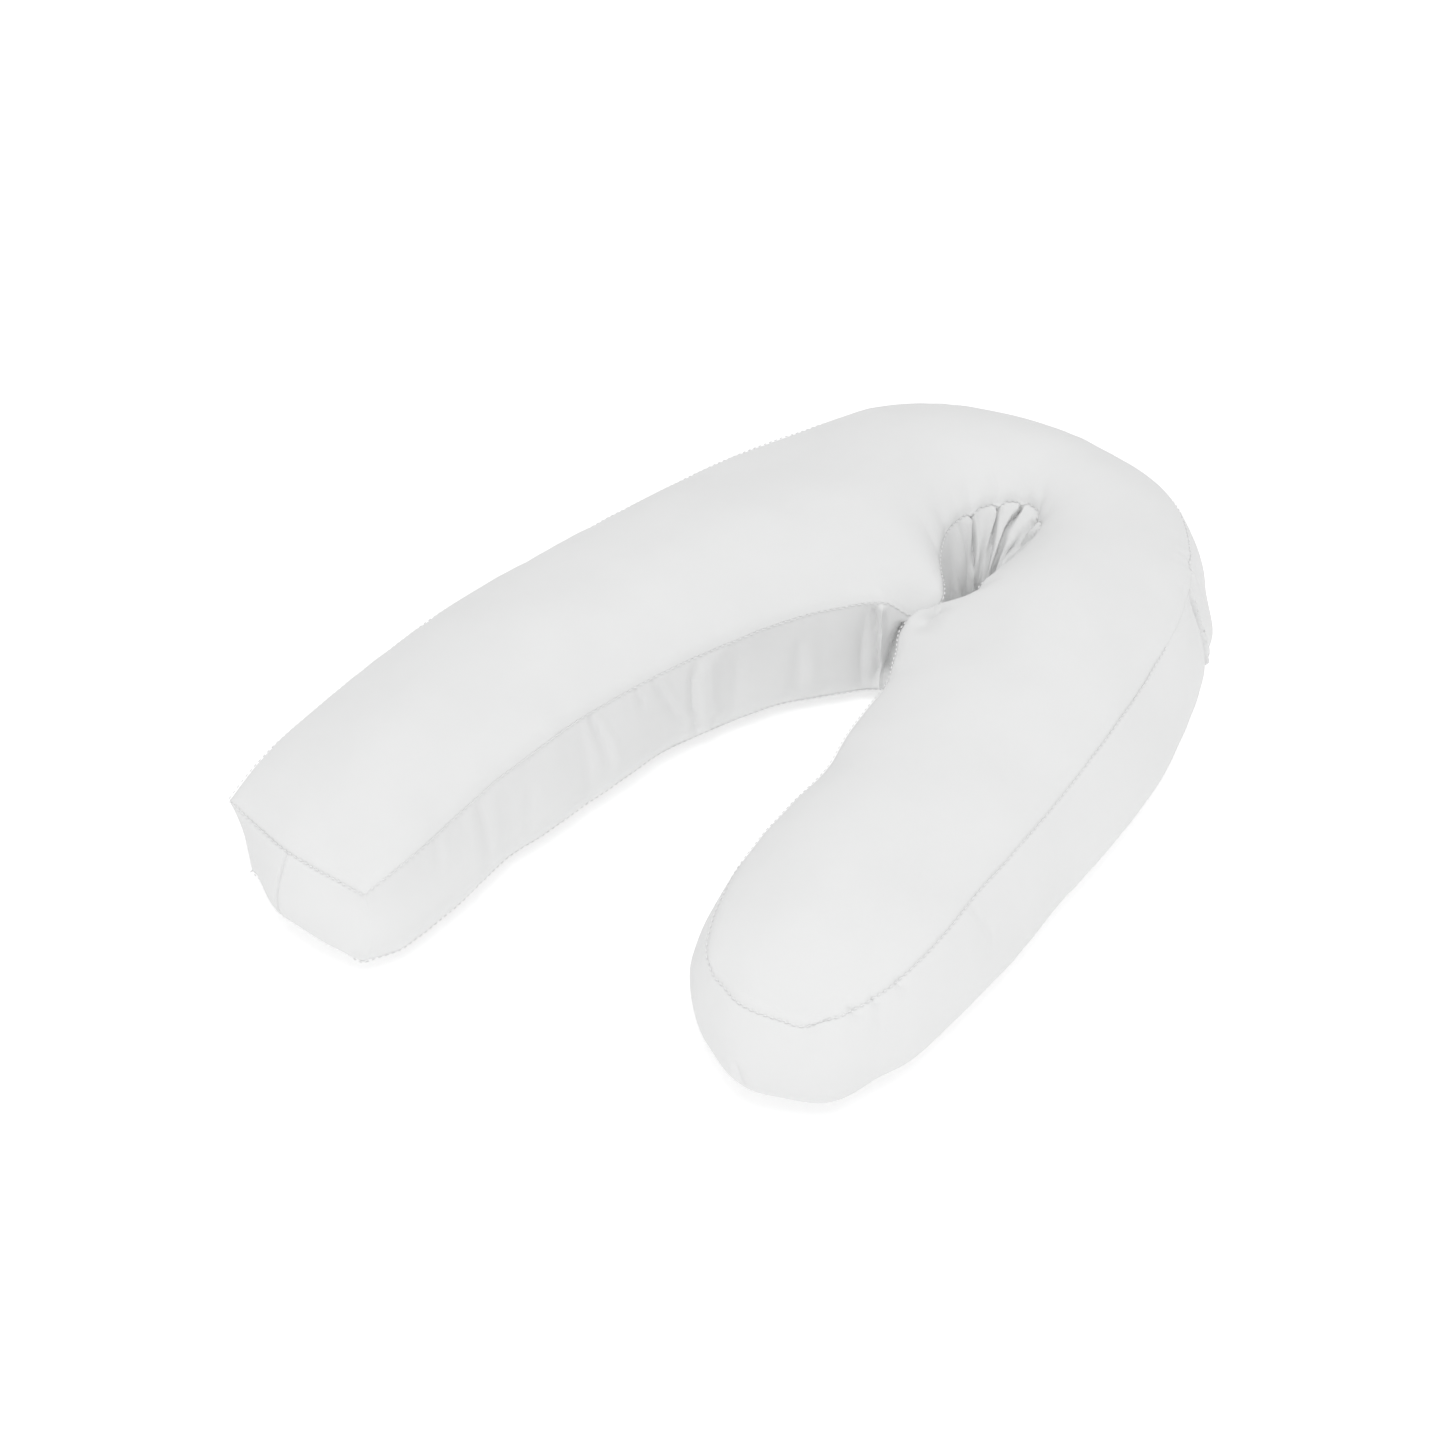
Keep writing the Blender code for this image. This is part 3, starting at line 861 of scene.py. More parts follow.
@dataclass(frozen=True)
class Sewing:
    """How the seams draw the cotton in, in millimetres."""

    soft_depth: float = 0.8
    soft_width: float = 5.5
    sharp_depth: float = 0.3
    sharp_width: float = 0.9
    uneven: float = 0.45
    uneven_size: float = 24.0
    pucker_depth: float = 1.0
    pucker_size: float = 13.0
    pucker_length: float = 60.0
    pucker_reach: float = 13.0
    patch_length: float = 90.0
    patch_mean: float = 0.55
    patch_change: float = 0.45
    pinned: float = 4.0
    crease_pinned: float = 1.6
    wobble: float = 1.3
    wobble_size: float = 75.0
    seam_wobble: float = 0.45
    seam_wobble_size: float = 22.0
    lump: float = 0.7
    lump_size: float = 58.0
    thinned: float = 0.3
    cloth: float = 1.5
    edge_offset: float = 0.35
    full_offset: float = 1.9
    offset_width: float = 8.0
    corner_reach: float = 40.0
    corner_sections: float = 3.0
    corner_ease: float = 2.0
    seam_reach: float = 30.0
    slack_start: float = 15.72
    slack_end: float = 16.95
    slack_ease: float = 0.12

    def groove(self, distance: np.ndarray) -> np.ndarray:
        """How far the cloth is drawn in at distances from a seam.

        Args:
            distance: the distances.

        Returns:
            The depths.
        """
        soft = np.clip(1 - distance / self.soft_width, 0.0, 1.0)
        sharp = np.clip(1 - distance / self.sharp_width, 0.0, 1.0)
        return self.soft_depth * soft * soft + self.sharp_depth * sharp

    def pull(self, run: np.ndarray, seed: float) -> np.ndarray:
        """How hard the thread pulls along a seam, about 1."""
        return 1 + self.uneven * noise_along(run / self.uneven_size, run * 0.0, seed)

    def held(self, distance: np.ndarray, pinned: float) -> np.ndarray:
        """How free the cloth is to move at distances from a seam, from 0 on it to 1."""
        return smooth_step(distance / pinned)

    def pucker(self, run: np.ndarray, distance: np.ndarray, seed: float) -> np.ndarray:
        """Rise of the short puckers that stand across a seam.

        Args:
            run: how far along the seam.
            distance: how far from it.
            seed: which noise shapes them.

        Returns:
            The rise.
        """
        waves = noise_along(run / self.pucker_size, distance / self.pucker_length, seed)
        patches = noise_along(run / self.patch_length, run * 0.0, seed + Seed.PATCHES)
        strength = self.patch_mean + self.patch_change * patches
        fade = np.exp(-(distance / self.pucker_reach) ** 2)
        return self.pucker_depth * waves * strength * fade

    def wander(self, points: np.ndarray) -> np.ndarray:
        """The points, moved by the slight unevenness of the filling.

        Args:
            points: the points to move.

        Returns:
            The moved points.
        """
        for move, size, first in (
                (self.wobble, self.wobble_size, Seed.WOBBLE),
                (self.seam_wobble, self.seam_wobble_size, Seed.SEAM_WOBBLE)):
            moves = [soft_noise(points, size, first + axis) for axis in range(3)]
            points = points + np.stack(moves, -1) * move
        return points

    def lumps(self, points: np.ndarray) -> np.ndarray:
        """Rise of the soft lumps in the filling."""
        return self.lump * soft_noise(points, self.lump_size, Seed.LUMPS)


@dataclass
class Layout:
    """Every cloth grid of the pillow, laid over the form and worked on, in millimetres.

    The ring counts cage points once round the band: across end A, along the outer wall, back
    across end B and back along the inner wall. The band's columns and the panels' rims follow it.
    """

    form: Form
    mesher: Mesher
    sewing: Sewing
    join: float = 0.513

    def __post_init__(self) -> None:
        """Lay the grids, then sew and crease them."""
        cages = {panel: self.form.panel_cage(panel is Panel.TOP) for panel in Panel}
        band_cage = self.form.band_cage()
        self.rows = self.form.rows()
        self.across = self.mesher.across(self.join)
        self.places = self.mesher.places(self.form, cages[Panel.TOP])
        self.levels = self.mesher.up(band_cage)
        along = blend_weights(index_in(self.rows, self.places), len(self.rows))
        over = blend_weights(index_in(ACROSS, self.across), len(ACROSS))
        self.panels = {panel: np.einsum("ir,jc,rcx->ijx", along, over, cage)
                       for panel, cage in cages.items()}
        self.ring = np.concatenate([
            self.ring_of(Wall.END_A, self.across), self.ring_of(Wall.OUTER, self.places)[1:],
            self.ring_of(Wall.END_B, self.across)[-2::-1],
            self.ring_of(Wall.INNER, self.places)[-2::-1]])
        ring_weights = blend_weights(self.ring, len(band_cage), is_ring=True)
        up_weights = blend_weights(self.levels, len(UP))
        self.band = np.einsum("ir,jc,rcx->ijx", ring_weights, up_weights, band_cage)
        for push in PUSHES:
            self.push(push)
        self.panels = {panel: self.sewing.wander(grid) for panel, grid in self.panels.items()}
        self.band = self.sewing.wander(self.band)
        self.round_corners()
        self.fit_band_to_seams()
        self.draw_in()
        self.crease_band()
        for panel in Panel:
            self.crease_panel(panel)

    def ring_of(self, wall: Wall, place: np.ndarray) -> np.ndarray:
        """Where places on a wall lie round the band, counted in cage points.

        Args:
            wall: the wall.
            place: places along it.

        Returns:
            The places round the band.
        """
        width = len(ACROSS) - 1
        last = len(self.rows) - 1
        if wall in (Wall.END_A, Wall.END_B):
            share = index_in(ACROSS, place)
            return share if wall is Wall.END_A else last + 2 * width - share
        index = index_in(self.rows, place)
        return width + index if wall is Wall.OUTER else 2 * (last + width) - index

    def side_distances(self, grid: np.ndarray) -> dict[Wall, np.ndarray]:
        """How far each point of a panel is from the seam on each side of it.

        Args:
            grid: points of the panel.

        Returns:
            The distances from each side.
        """
        to_inner = lengths_along(grid, 1)
        to_a = lengths_along(grid, 0)
        return {Wall.END_A: to_a, Wall.OUTER: to_inner[:, -1:] - to_inner,
                Wall.END_B: to_a[-1:] - to_a, Wall.INNER: to_inner}

    def push(self, push: Push) -> None:
        """Push the cotton on both sides of a seam alike.

        Args:
            push: the push.
        """
        rise = lengths_along(self.band, 1)
        run = lengths_along(self.band[:, self.band.shape[1] // 2], 0)
        middle = np.interp(self.ring_of(push.wall, np.array(push.place)), self.ring, run)
        away = np.abs(run - middle)
        share = push.round_band(np.minimum(away, run[-1] - away))[:, None]
        move = np.array(push.push)
        self.band = self.band + (share * push.up_wall(rise / rise[:, -1:]))[..., None] * move
        for panel, height in ((Panel.BOTTOM, 0.0), (Panel.TOP, 1.0)):
            self.spread(panel, share * push.up_wall(height) * move, push.depth)

    def spread(self, panel: Panel, moves: np.ndarray, depth: float) -> None:
        """Move a panel's edge, and ease the moves out over the panel.

        Args:
            panel: the panel to move.
            moves: how far each point of the edge moves, in the order of the band's ring.
            depth: how far from the edge the moves carry.
        """
        grid = self.panels[panel]
        distances = self.side_distances(grid)
        total = np.zeros(grid.shape[:2])
        moved = np.zeros_like(grid)
        for wall, side in self.sides_of(moves).items():
            weight = 1 / (distances[wall] ** 2 + EDGE_BLUR)
            total += weight
            moved += side * weight[..., None]
        nearest = np.min(list(distances.values()), axis=0)
        fade = smooth_step(1 - nearest / depth) / total
        self.panels[panel] = grid + moved * fade[..., None]

    @staticmethod
    def rim_of(grid: np.ndarray) -> np.ndarray:
        """The edge of a panel's grid of values, in the order of the band's ring."""
        return np.concatenate([grid[0], grid[1:, -1], grid[-1, -2::-1], grid[-2::-1, 0]])

    def sides_of(self, rim: np.ndarray) -> dict[Wall, np.ndarray]:
        """A ring of values split into its four sides, spread over a panel's grid.

        Args:
            rim: values in the order of the band's ring.

        Returns:
            Each side's values, ready to spread over a grid.
        """
        count, depth = len(self.places), len(self.across)
        return {Wall.END_A: rim[:depth][None],
                Wall.OUTER: rim[depth - 1:depth + count - 1][:, None],
                Wall.END_B: rim[depth + count - 2:2 * depth + count - 2][::-1][None],
                Wall.INNER: rim[2 * depth + count - 3:][::-1][:, None]}

    def round_corners(self) -> None:
        """Bring the panels' corners at the round end onto the band's rounder line."""
        place = np.array(LAST - self.sewing.corner_sections)
        ease = self.sewing.corner_ease
        share = np.clip((self.ring - self.ring_of(Wall.OUTER, place)) / ease, 0, 1)
        share *= np.clip((self.ring_of(Wall.INNER, place) - self.ring) / ease, 0, 1)
        for panel, level in SEAM_LEVELS.items():
            change = self.band[:, level] - self.rim_of(self.panels[panel])
            self.spread(panel, change * smooth_step(share)[:, None], self.sewing.corner_reach)

    def fit_band_to_seams(self) -> None:
        """Bring the band's two edges onto the panels' edges, easing the change out up the wall."""
        distances = self.seam_distances()
        for panel, level in SEAM_LEVELS.items():
            change = self.rim_of(self.panels[panel]) - self.band[:, level]
            share = np.clip(1 - distances[panel] / self.sewing.seam_reach, 0.0, 1.0) ** 2
            self.band = self.band + change[:, None] * share[..., None]

    def seam_distances(self) -> dict[Panel, np.ndarray]:
        """How far each point of the band is from its seam with each panel."""
        rise = lengths_along(self.band, 1)
        return {Panel.BOTTOM: rise, Panel.TOP: rise[:, -1:] - rise}

    def band_normals(self) -> np.ndarray:
        """Outward directions of the band's grid.

        Returns:
            A direction for each point.
        """
        ring = self.band[:-1]
        round_it = np.roll(ring, -1, axis=0) - np.roll(ring, 1, axis=0)
        round_it = np.concatenate([round_it, round_it[:1]])
        return unit(np.cross(np.gradient(self.band, axis=1), round_it))

    def panel_normals(self, panel: Panel) -> np.ndarray:
        """Outward directions of a panel's grid.

        Args:
            panel: the panel.

        Returns:
            A direction for each point.
        """
        grid = self.panels[panel]
        normals = unit(np.cross(np.gradient(grid, axis=0), np.gradient(grid, axis=1)))
        # A corner, where the grid's two edges run nearly in line, takes a near point's direction.
        for row, near_row in ((0, 2), (-1, -3)):
            for column, near_column in ((0, 2), (-1, -3)):
                normals[row, column] = normals[near_row, near_column]
        return normals if panel is Panel.TOP else -normals

    def seam_shows(self, panel: Panel) -> np.ndarray:
        """How much a seam's line shows at each column of the band.

        Args:
            panel: the panel that the seam joins.

        Returns:
            Shares from 0 to 1.
        """
        if panel is Panel.BOTTOM:
            return np.ones(len(self.ring))
        # Past the tuck the cloth bulges over the top seam, so that its line doesn't show.
        sewing = self.sewing
        first = len(self.across) - 1
        place = np.full(len(self.ring), FAR_AWAY)
        place[first:first + len(self.places)] = self.places
        return 1 - eased_between(place, sewing.slack_start, sewing.slack_end,
                                 (sewing.slack_ease, sewing.slack_ease))

    def draw_in(self) -> None:
        """Draw the band and the panels in along the seams that join them."""
        sewing = self.sewing
        wall_normals = self.band_normals()
        seeds = {Panel.BOTTOM: Seed.PULL_BOTTOM, Panel.TOP: Seed.PULL_TOP}
        self.band_distances = self.seam_distances()
        self.seams, self.bisectors, self.shows = {}, {}, {}
        self.seam_distance, self.seam_run = {}, {}
        band_moves = np.zeros_like(self.band)
        for panel, level in WALL_LEVELS.items():
            grid = self.panels[panel]
            rim = self.rim_of(grid)
            run = lengths_along(rim, 0)
            shows = self.seam_shows(panel)
            pull = sewing.pull(run, seeds[panel]) * shows
            pull[-1] = pull[0]
            normals = unit(wall_normals[:, level] + self.rim_of(self.panel_normals(panel)))
            self.seams[panel], self.bisectors[panel], self.shows[panel] = rim, normals, shows
            draw = self.sides_of(normals * pull[:, None])
            runs = self.sides_of(run)
            distances = self.side_distances(grid)
            grooves = {wall: sewing.groove(distance) for wall, distance in distances.items()}
            total = sum(grooves.values()) + TINY
            drawn = sum(draw[wall] * (groove * groove / total)[..., None]
                        for wall, groove in grooves.items())
            away = np.stack([distances[wall] for wall in runs])
            nearest = np.argmin(away, axis=0)
            laid = [np.broadcast_to(value, nearest.shape) for value in runs.values()]
            self.seam_distance[panel] = np.min(away, axis=0)
            self.seam_run[panel] = np.choose(nearest, laid)
            self.panels[panel] = grid - drawn
            groove = sewing.groove(self.band_distances[panel])
            band_moves += (normals * pull[:, None])[:, None] * groove[..., None]
        self.band = self.band - band_moves

    def crease_band(self) -> None:
        """Work the creases, puckers and lumps into the band."""
        sewing = self.sewing
        normals = self.band_normals()
        self.run = run = lengths_along(self.band, 0)
        self.rise = rise = lengths_along(self.band, 1)
        up = rise / rise[:, -1:]
        height = sewing.lumps(self.band)
        for panel, seed in ((Panel.TOP, Seed.PUCKER_TOP), (Panel.BOTTOM, Seed.PUCKER_BOTTOM)):
            height += sewing.pucker(run, self.band_distances[panel], seed)
        folds = np.zeros_like(height)
        leans = np.zeros_like(height)
        for wall in Wall:
            # The ring runs the other way along the inner wall and the round end.
            side = -1 if wall in (Wall.INNER, Wall.END_B) else 1
            for crease in CREASES[wall].values():
                places, spans = zip(*crease.path)
                ring = self.ring_of(wall, np.interp(up, spans, places))
                centre = np.stack([np.interp(ring[:, level], self.ring, run[:, level])
                                   for level in range(run.shape[1])], axis=1)
                folds += crease.height((run - centre) * side, up)
                leans += crease.shift((run - centre) * side, up) * side
        for panel in Panel:
            distance = self.band_distances[panel]
            height *= sewing.held(distance, sewing.pinned)
            folds *= sewing.held(distance, sewing.crease_pinned)
            leans *= sewing.held(distance, sewing.pinned)
        along = unit(np.gradient(self.band, axis=0))
        self.band = self.band + normals * (height + folds)[..., None] + along * leans[..., None]
        self.band[-1] = self.band[0]

    def line_on(self, panel: Panel, path: Path) -> np.ndarray:
        """Points of a panel along a path of places, each with a share across the arm.

        Args:
            panel: the panel.
            path: the path's corners.

        Returns:
            Points along the path.
        """
        steps = np.linspace(0, len(path) - 1, DENT_STEPS * len(path))
        place, share = (np.interp(steps, np.arange(len(path)), values) for values in zip(*path))
        row, column = index_in(self.places, place), index_in(self.across, share)
        grid = self.panels[panel]
        low_row, low_column = row.astype(int), column.astype(int)
        ahead, over = (row - low_row)[:, None], (column - low_column)[:, None]
        near, far = (grid[low_row + step, low_column] * (1 - over)
                     + grid[low_row + step, low_column + 1] * over for step in (0, 1))
        return near * (1 - ahead) + far * ahead

    def crease_panel(self, panel: Panel) -> None:
        """Work the creases, puckers and lumps into one panel.

        Args:
            panel: the panel.
        """
        sewing = self.sewing
        grid = self.panels[panel]
        normals = self.panel_normals(panel)
        distance = self.seam_distance[panel]
        height = sewing.lumps(grid)
        height += sewing.pucker(self.seam_run[panel], distance, Seed.PUCKER_PANELS)
        run = lengths_along(grid, 0)
        folds = np.zeros_like(height)
        for crease in CREASES[panel].values():
            places, spans = zip(*crease.path)
            place = np.interp(self.across, spans, places)
            centre = np.array([np.interp(place[column], self.places, run[:, column])
                               for column in range(run.shape[1])])
            folds += crease.height(run - centre, np.broadcast_to(self.across, run.shape))
        for dent in DENTS:
            if dent.panel is panel:
                folds += dent.height(grid, self.line_on(panel, dent.path))
        height *= sewing.held(distance, sewing.pinned)
        height += folds * sewing.held(distance, sewing.crease_pinned)
        # Nothing bulges out of the bottom panel, because it lies on the floor.
        if panel is Panel.BOTTOM:
            height = np.minimum(height, 0.0)
        moved = grid + normals * height[..., None]
        moved[..., 2] = np.maximum(moved[..., 2], self.form.floor_lift)
        self.panels[panel] = moved


def finished_mesh(bm: bmesh.types.BMesh, name: str) -> bpy.types.Mesh:
    """The mesh that a bmesh makes.

    Args:
        bm: the bmesh, which is freed.
        name: the mesh's name.

    Returns:
        The mesh.
    """
    mesh = bpy.data.meshes.new(name)
    bm.to_mesh(mesh)
    bm.free()
    return mesh


def laid_grid(name: str, points: np.ndarray,
              weave: np.ndarray) -> tuple[bpy.types.Mesh, np.ndarray]:
    """A flat grid moved onto points.

    Args:
        name: the mesh's name.
        points: rows and columns of points, in metres.
        weave: where each point lies in the flat cloth, in metres.

    Returns:
        The mesh, and the number of each vertex's point, counted row by row.
    """
    rows, columns = points.shape[:2]
    bm = bmesh.new()
    bmesh.ops.create_grid(bm, x_segments=rows - 1, y_segments=columns - 1, size=0.5)
    mesh = finished_mesh(bm, name)
    flat = np.empty(len(mesh.vertices) * 3)
    mesh.vertices.foreach_get("co", flat)
    plan = flat.reshape(-1, 3)[:, :2] + 0.5
    row, column = np.rint(plan * (rows - 1, columns - 1)).astype(int).T
    order = row * columns + column
    mesh.vertices.foreach_set("co", points.reshape(-1, 3)[order].ravel())
    corners = np.empty(len(mesh.loops), dtype=np.int32)
    mesh.loops.foreach_get("vertex_index", corners)
    layer = mesh.uv_layers.new(name=WEAVE_MAP)
    layer.uv.foreach_set("vector", weave.reshape(-1, 2)[order[corners]].ravel())
    return mesh, order


def new_object(name: str, mesh: bpy.types.Mesh, material: bpy.types.Material) -> bpy.types.Object:
    """An object with one material, linked to the scene.

    Args:
        name: the object's name.
        mesh: its mesh.
        material: its material.

    Returns:
        The object.
    """
    mesh.materials.clear()
    mesh.materials.append(material)
    item = bpy.data.objects.new(name, mesh)
    bpy.context.scene.collection.objects.link(item)
    return item


def welded(meshes: list[bpy.types.Mesh], name: str) -> bpy.types.Mesh:
    """One closed mesh from grids whose edges lie on each other.

    Args:
        meshes: the grids, which are removed.
        name: the new mesh's name.

    Returns:
        The mesh.
    """
    bm = bmesh.new()
    for mesh in meshes:
        bm.from_mesh(mesh)
        bpy.data.meshes.remove(mesh)
    bmesh.ops.remove_doubles(bm, verts=bm.verts, dist=WELD)
    bmesh.ops.recalc_face_normals(bm, faces=bm.faces)
    joined = finished_mesh(bm, name)
    joined.shade_smooth()
    joined.set_sharp_from_angle(angle=SHARP)
    return joined


def set_inputs(node: bpy.types.Node, inputs: dict[str | int, object]) -> None:
    """Set a node's inputs.

    Args:
        node: the node.
        inputs: a value for each input by its name or number, or the output that leads to it.
    """
    for key, value in inputs.items():
        if isinstance(value, bpy.types.NodeSocket):
            node.id_data.links.new(value, node.inputs[key])
        else:
            node.inputs[key].default_value = value


def new_node(shader: bpy.types.Node, kind: str, inputs: dict[str | int, object],
             **settings: str) -> bpy.types.NodeOutputs:
    """Add a node beside a shader.

    Args:
        shader: the shader of the material that it is for.
        kind: the node's type.
        inputs: its inputs, as set_inputs takes them.
        settings: the node's own choices.

    Returns:
        The node's outputs.
    """
    node = shader.id_data.nodes.new(f"ShaderNode{kind}")
    for name, value in settings.items():
        setattr(node, name, value)
    set_inputs(node, inputs)
    return node.outputs


@dataclass(frozen=True)
class Cotton:
    """The cotton's finish: a fine plain weave, matte and white."""

    name: str
    colour: Triple = (0.802, 0.805, 0.804)
    shade: float = 0.98
    roughness: float = 0.88
    sheen: float = 0.15
    sheen_roughness: float = 0.5
    specular: float = 0.2
    patch_scale: float = 14.0
    patch_detail: float = 3.0
    patch_range: Pair = (0.35, 0.6)
    thread_pitch: float = 0.00055
    weave_share: float = 0.3
    slub_scale: float = 900.0
    slub_detail: float = 2.0
    bump_strength: float = 0.35
    bump_height: float = 0.0002

    def material(self) -> bpy.types.Material:
        """Build the material from nodes.

        Returns:
            The material.
        """
        material = bpy.data.materials.new(self.name)
        material.use_nodes = True
        shader = material.node_tree.nodes["Principled BSDF"]
        place = new_node(shader, "TexCoord", {})
        patches = new_node(shader, "TexNoise", {
            "Vector": place["Object"], "Scale": self.patch_scale, "Detail": self.patch_detail})
        spread = new_node(shader, "MapRange", {
            "Value": patches["Fac"], "From Min": self.patch_range[0],
            "From Max": self.patch_range[1]})
        tint = new_node(shader, "Mix", {
            "Factor": spread["Result"], "A": (*(value * self.shade for value in self.colour), 1),
            "B": (*self.colour, 1)}, data_type="RGBA")
        cloth = new_node(shader, "UVMap", {}, uv_map=WEAVE_MAP)
        split = new_node(shader, "SeparateXYZ", {"Vector": cloth["UV"]})
        waves = []
        for axis in "XY":
            turn = new_node(shader, "Math", {0: split[axis], 1: 2 * math.pi / self.thread_pitch},
                            operation="MULTIPLY")
            waves.append(new_node(shader, "Math", {0: turn["Value"]}, operation="SINE")["Value"])
        weave = new_node(shader, "Math", dict(enumerate(waves)), operation="MULTIPLY")
        slubs = new_node(shader, "TexNoise", {
            "Vector": cloth["UV"], "Scale": self.slub_scale, "Detail": self.slub_detail})
        relief = new_node(shader, "Math", {
            0: weave["Value"], 1: self.weave_share, 2: slubs["Fac"]}, operation="MULTIPLY_ADD")
        bump = new_node(shader, "Bump", {
            "Height": relief["Value"], "Strength": self.bump_strength,
            "Distance": self.bump_height})
        set_inputs(shader, {
            "Base Color": tint["Result"], "Roughness": self.roughness, "Sheen Weight": self.sheen,
            "Sheen Roughness": self.sheen_roughness, "Specular IOR Level": self.specular,
            "Normal": bump["Normal"]})
        return material


@dataclass
class Pillow:
    """The pillow's band, panels and sewing thread, with the thread's sizes in millimetres."""

    layout: Layout
    finish: Cotton
    thread_finish: Cotton
    pitch: float = 4.6
    stitch_length: float = 2.9
    stitch_width: float = 1.0
    stitch_sink: float = -0.3
    stitch_tilt: float = 4.0
    stitch_sides: int = 6
    stitch_rings: int = 5
    batch: int = 24

    def build_thread(self, panel: Panel) -> bpy.types.Object:
        """The stitches that show in a seam, each a short thread lying in its groove.

        Args:
            panel: the panel that the seam joins.

        Returns:
            The stitches, as one object.
        """
        layout = self.layout
        seam, outward = layout.seams[panel], layout.bisectors[panel]
        run = lengths_along(seam, 0)
        steps = np.arange(round(run[-1] / self.pitch)) + 0.5
        middles = steps * run[-1] / len(steps)
        middles = middles[np.interp(middles, run, layout.shows[panel]) > 0.5]
        centres, ahead, out = (
            np.stack([np.interp(middles + step, run, values[:, axis]) for axis in range(3)], -1)
            for step, values in ((0, seam), (1, seam), (0, outward)))
        along, out = ahead - centres, unit(out)
        centres = layout.form.to_model(centres - out * self.stitch_sink)
        thick, long = self.stitch_width / 2 * MM, self.stitch_length / 2 * MM
        sizes = Matrix.Diagonal((thick, thick, long, 1.0))
        # A bmesh slows down as it fills, so a few stitches are made at a time.
        batches = []
        for start in range(0, len(middles), self.batch):
            bm = bmesh.new()
            for number in range(start, min(start + self.batch, len(middles))):
                lie = Vector(along[number])
                lie.rotate(Quaternion(Vector(out[number]), math.radians(self.stitch_tilt)))
                turn = lie.to_track_quat("Z", "X").to_matrix().to_4x4()
                bmesh.ops.create_uvsphere(
                    bm, u_segments=self.stitch_sides, v_segments=self.stitch_rings, radius=1.0,
                    matrix=Matrix.Translation(centres[number]) @ turn @ sizes)
            batches.append(finished_mesh(bm, "stitches"))
        name = f"{panel.value}_seam_thread"
        return new_object(name, welded(batches, name), self.thread_finish.material())

    def panel_weave(self, panel: Panel) -> np.ndarray:
        """Where each point of a panel lies in the flat cloth, in metres."""
        return self.layout.panels[panel][..., :2] * MM

    def build_body(self) -> bpy.types.Object:
        """The side band and the filling under the panels, as one closed piece.

        Returns:
            The piece.
        """
        layout = self.layout
        to_model = layout.form.to_model
        rise = layout.rise
        round_it = np.broadcast_to(layout.run[:, rise.shape[1] // 2, None], rise.shape)
        weave = np.stack([round_it, rise], -1) * MM
        meshes = [laid_grid("band", to_model(layout.band), weave)[0]]
        for panel, level in SEAM_LEVELS.items():
            cap = layout.panels[panel].copy()
            sides = layout.sides_of(layout.band[:, level])
            cap[0], cap[-1] = sides[Wall.END_A][0], sides[Wall.END_B][0]
            cap[:, 0], cap[:, -1] = sides[Wall.INNER][:, 0], sides[Wall.OUTER][:, 0]
            meshes.append(laid_grid("cap", to_model(cap), self.panel_weave(panel))[0])
        item = new_object("side_band", welded(meshes, "side_band"), self.finish.material())
        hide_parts("filled_body")
        return item

    def build_panel(self, panel: Panel, node: str) -> bpy.types.Object:
        """A panel's sheet of cotton, thinned where it turns into the seam.

        Args:
            panel: the panel.
            node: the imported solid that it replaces.

        Returns:
            The piece.
        """
        layout = self.layout
        sewing = layout.sewing
        share = smooth_step(layout.seam_distance[panel] / sewing.offset_width)
        offset = sewing.edge_offset + (sewing.full_offset - sewing.edge_offset) * share
        points = layout.panels[panel] + layout.panel_normals(panel) * offset[..., None]
        points[..., 2] = np.maximum(points[..., 2], 0.0)
        mesh, order = laid_grid(node, layout.form.to_model(points), self.panel_weave(panel))
        if panel is Panel.BOTTOM:
            mesh.flip_normals()
        mesh.shade_smooth()
        item = new_object(f"{panel.value}_cotton", mesh, self.finish.material())
        group = item.vertex_groups.new(name="full")
        for number, weight in enumerate(share.ravel()[order]):
            group.add([number], float(weight), "REPLACE")
        thickness = item.modifiers.new("Cloth", "SOLIDIFY")
        thickness.thickness = sewing.cloth * MM
        thickness.offset = -1.0
        thickness.vertex_group = group.name
        thickness.thickness_vertex_group = sewing.thinned / sewing.cloth
        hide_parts(node)
        return item


class Lamp(NamedTuple):
    """A soft square light that faces the pillow, with its sizes in metres and its power in watts."""

    name: str
    place: Triple
    size: float
    power: float


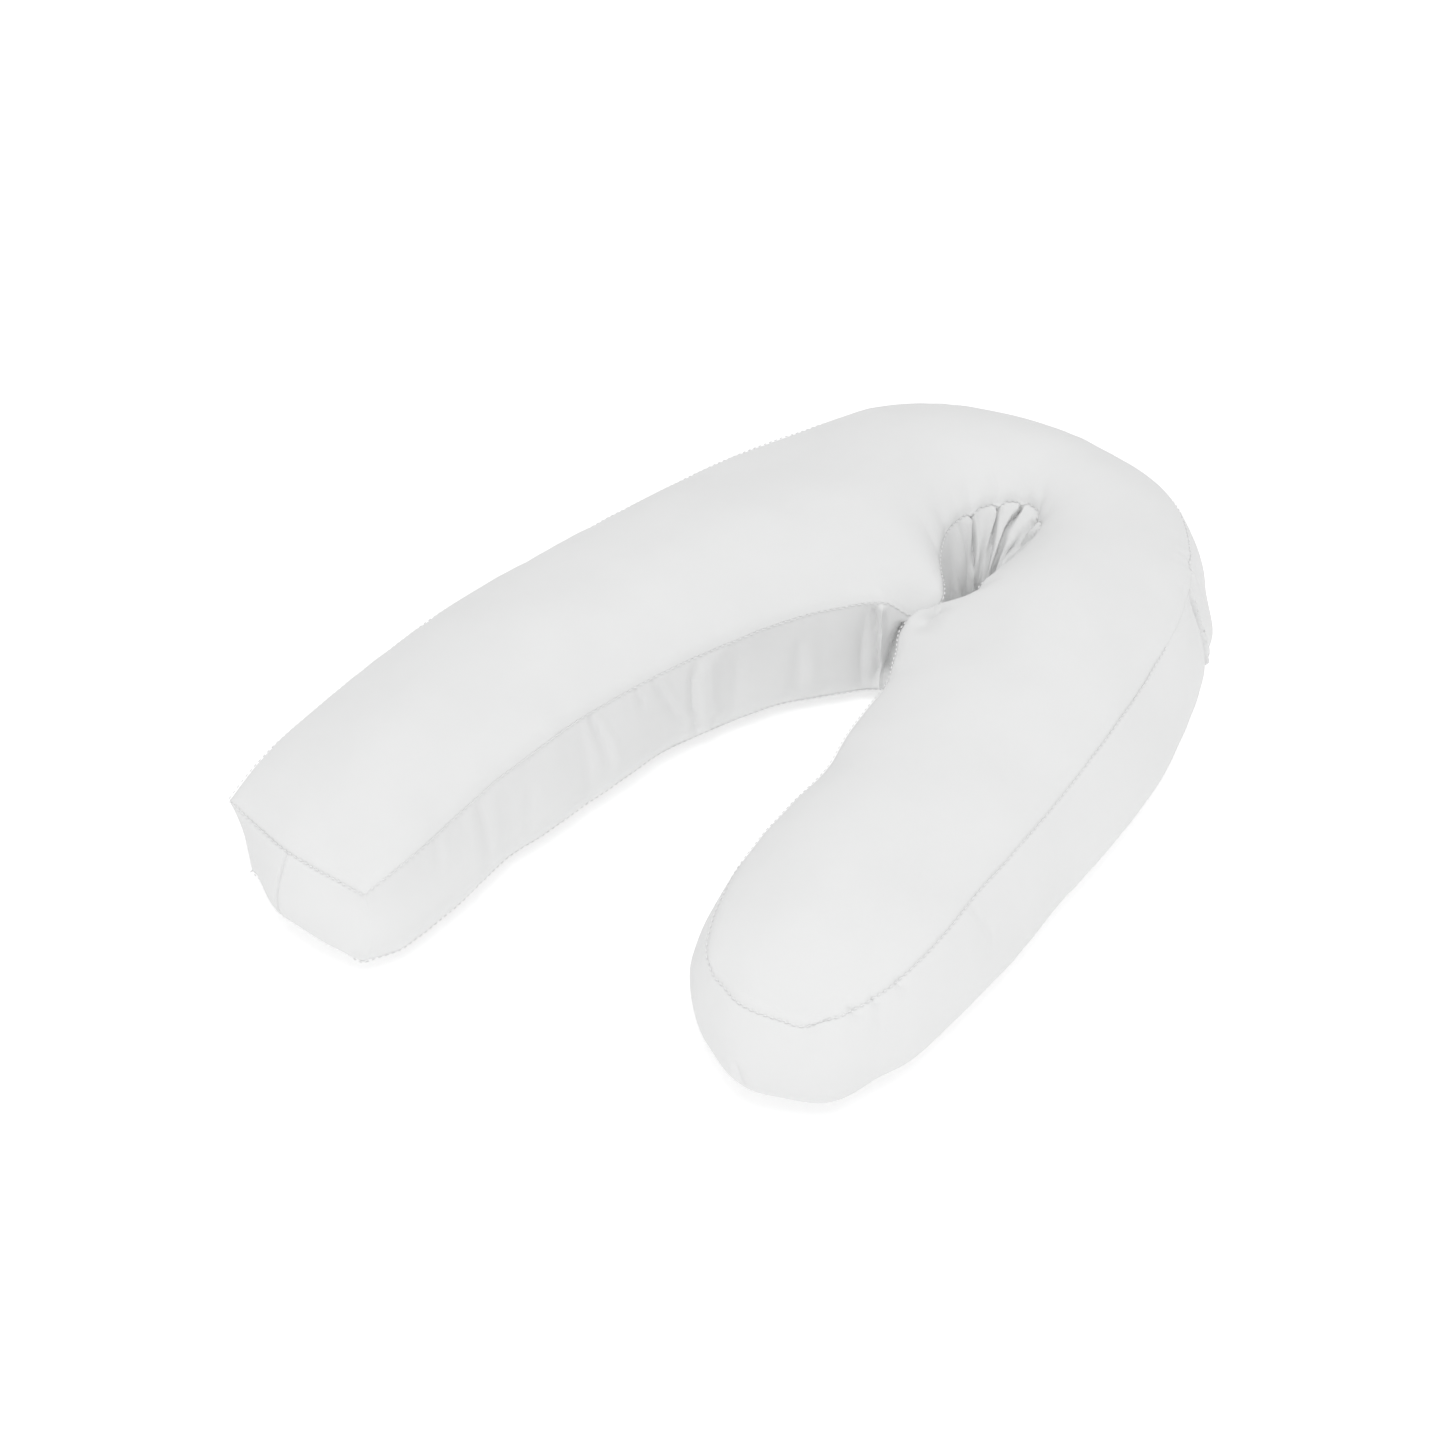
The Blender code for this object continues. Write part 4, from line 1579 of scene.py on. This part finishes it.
@dataclass(frozen=True)
class Studio:
    """The camera, the pale floor and the soft lights, with sizes in metres and angles in degrees."""

    look_at: Triple = (0.00278, 0.06857, 0.0)
    distance: float = 1.7448
    heading: float = 38.0
    elevation: float = 43.0
    lens: float = 60.0
    sensor: float = 36.0
    floor_half_width: float = 6.0
    floor_cells: int = 4
    floor_drop: float = 0.0005
    floor_colour: Triple = (0.82, 0.82, 0.82)
    floor_roughness: float = 0.9
    floor_glow: float = 0.34
    surround_glow: float = 0.72
    lamps: tuple[Lamp, ...] = (Lamp("top_light", (-1.2, -1.0, 3.9), 1.6, 55.0),
                               Lamp("side_light", (-1.7, 0.3, 1.5), 1.2, 0.7))

    def place_camera(self) -> None:
        """Put the camera where it sees the whole pillow from above its open end."""
        heading, elevation = math.radians(self.heading), math.radians(self.elevation)
        forward = Vector((math.cos(elevation) * math.cos(heading),
                          math.cos(elevation) * math.sin(heading), -math.sin(elevation)))
        data = bpy.data.cameras.new("camera")
        data.lens = self.lens
        data.sensor_width = self.sensor
        camera = bpy.data.objects.new("camera", data)
        camera.location = Vector(self.look_at) - forward * self.distance
        camera.rotation_euler = forward.to_track_quat("-Z", "Y").to_euler()
        bpy.context.scene.collection.objects.link(camera)
        bpy.context.scene.camera = camera

    def lay_floor(self) -> None:
        """Lay a wide plain floor."""
        bm = bmesh.new()
        bmesh.ops.create_grid(bm, x_segments=self.floor_cells, y_segments=self.floor_cells,
                              size=self.floor_half_width)
        material = bpy.data.materials.new("pale_floor")
        material.use_nodes = True
        set_inputs(material.node_tree.nodes["Principled BSDF"], {
            "Base Color": (*self.floor_colour, 1), "Roughness": self.floor_roughness,
            "Emission Color": WHITE, "Emission Strength": self.floor_glow})
        floor = new_object("floor", finished_mesh(bm, "floor"), material)
        floor.location.z = -self.floor_drop

    def light(self) -> None:
        """Set an even pale surround, with a large soft light above and a faint one at the open end."""
        world = bpy.data.worlds.new("surround")
        world.use_nodes = True
        bpy.context.scene.world = world
        set_inputs(world.node_tree.nodes["Background"],
                   {"Color": WHITE, "Strength": self.surround_glow})
        for lamp in self.lamps:
            data = bpy.data.lights.new(lamp.name, "AREA")
            data.size = lamp.size
            data.energy = lamp.power
            light = bpy.data.objects.new(lamp.name, data)
            light.location = lamp.place
            light.rotation_euler = (-Vector(lamp.place)).to_track_quat("-Z", "Y").to_euler()
            bpy.context.scene.collection.objects.link(light)
        bpy.context.scene.view_settings.view_transform = "Standard"


def main() -> None:
    """Build the pillow and its studio."""
    logging.basicConfig(level=logging.INFO, format="%(name)s: %(message)s")
    studio = Studio()
    studio.place_camera()
    studio.lay_floor()
    studio.light()
    layout = Layout(Form(), Mesher(), Sewing())
    pillow = Pillow(layout, Cotton("white_cotton"), Cotton("white_thread", sheen=0.3))
    pieces = [pillow.build_body(), pillow.build_panel(Panel.TOP, "top_panel"),
              pillow.build_panel(Panel.BOTTOM, "bottom_panel"),
              pillow.build_thread(Panel.TOP), pillow.build_thread(Panel.BOTTOM)]
    for piece in pieces:
        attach(piece, BODY)
        LOG.info("%s: %d faces", piece.name, len(piece.data.polygons))


if __name__ == "__main__":
    main()
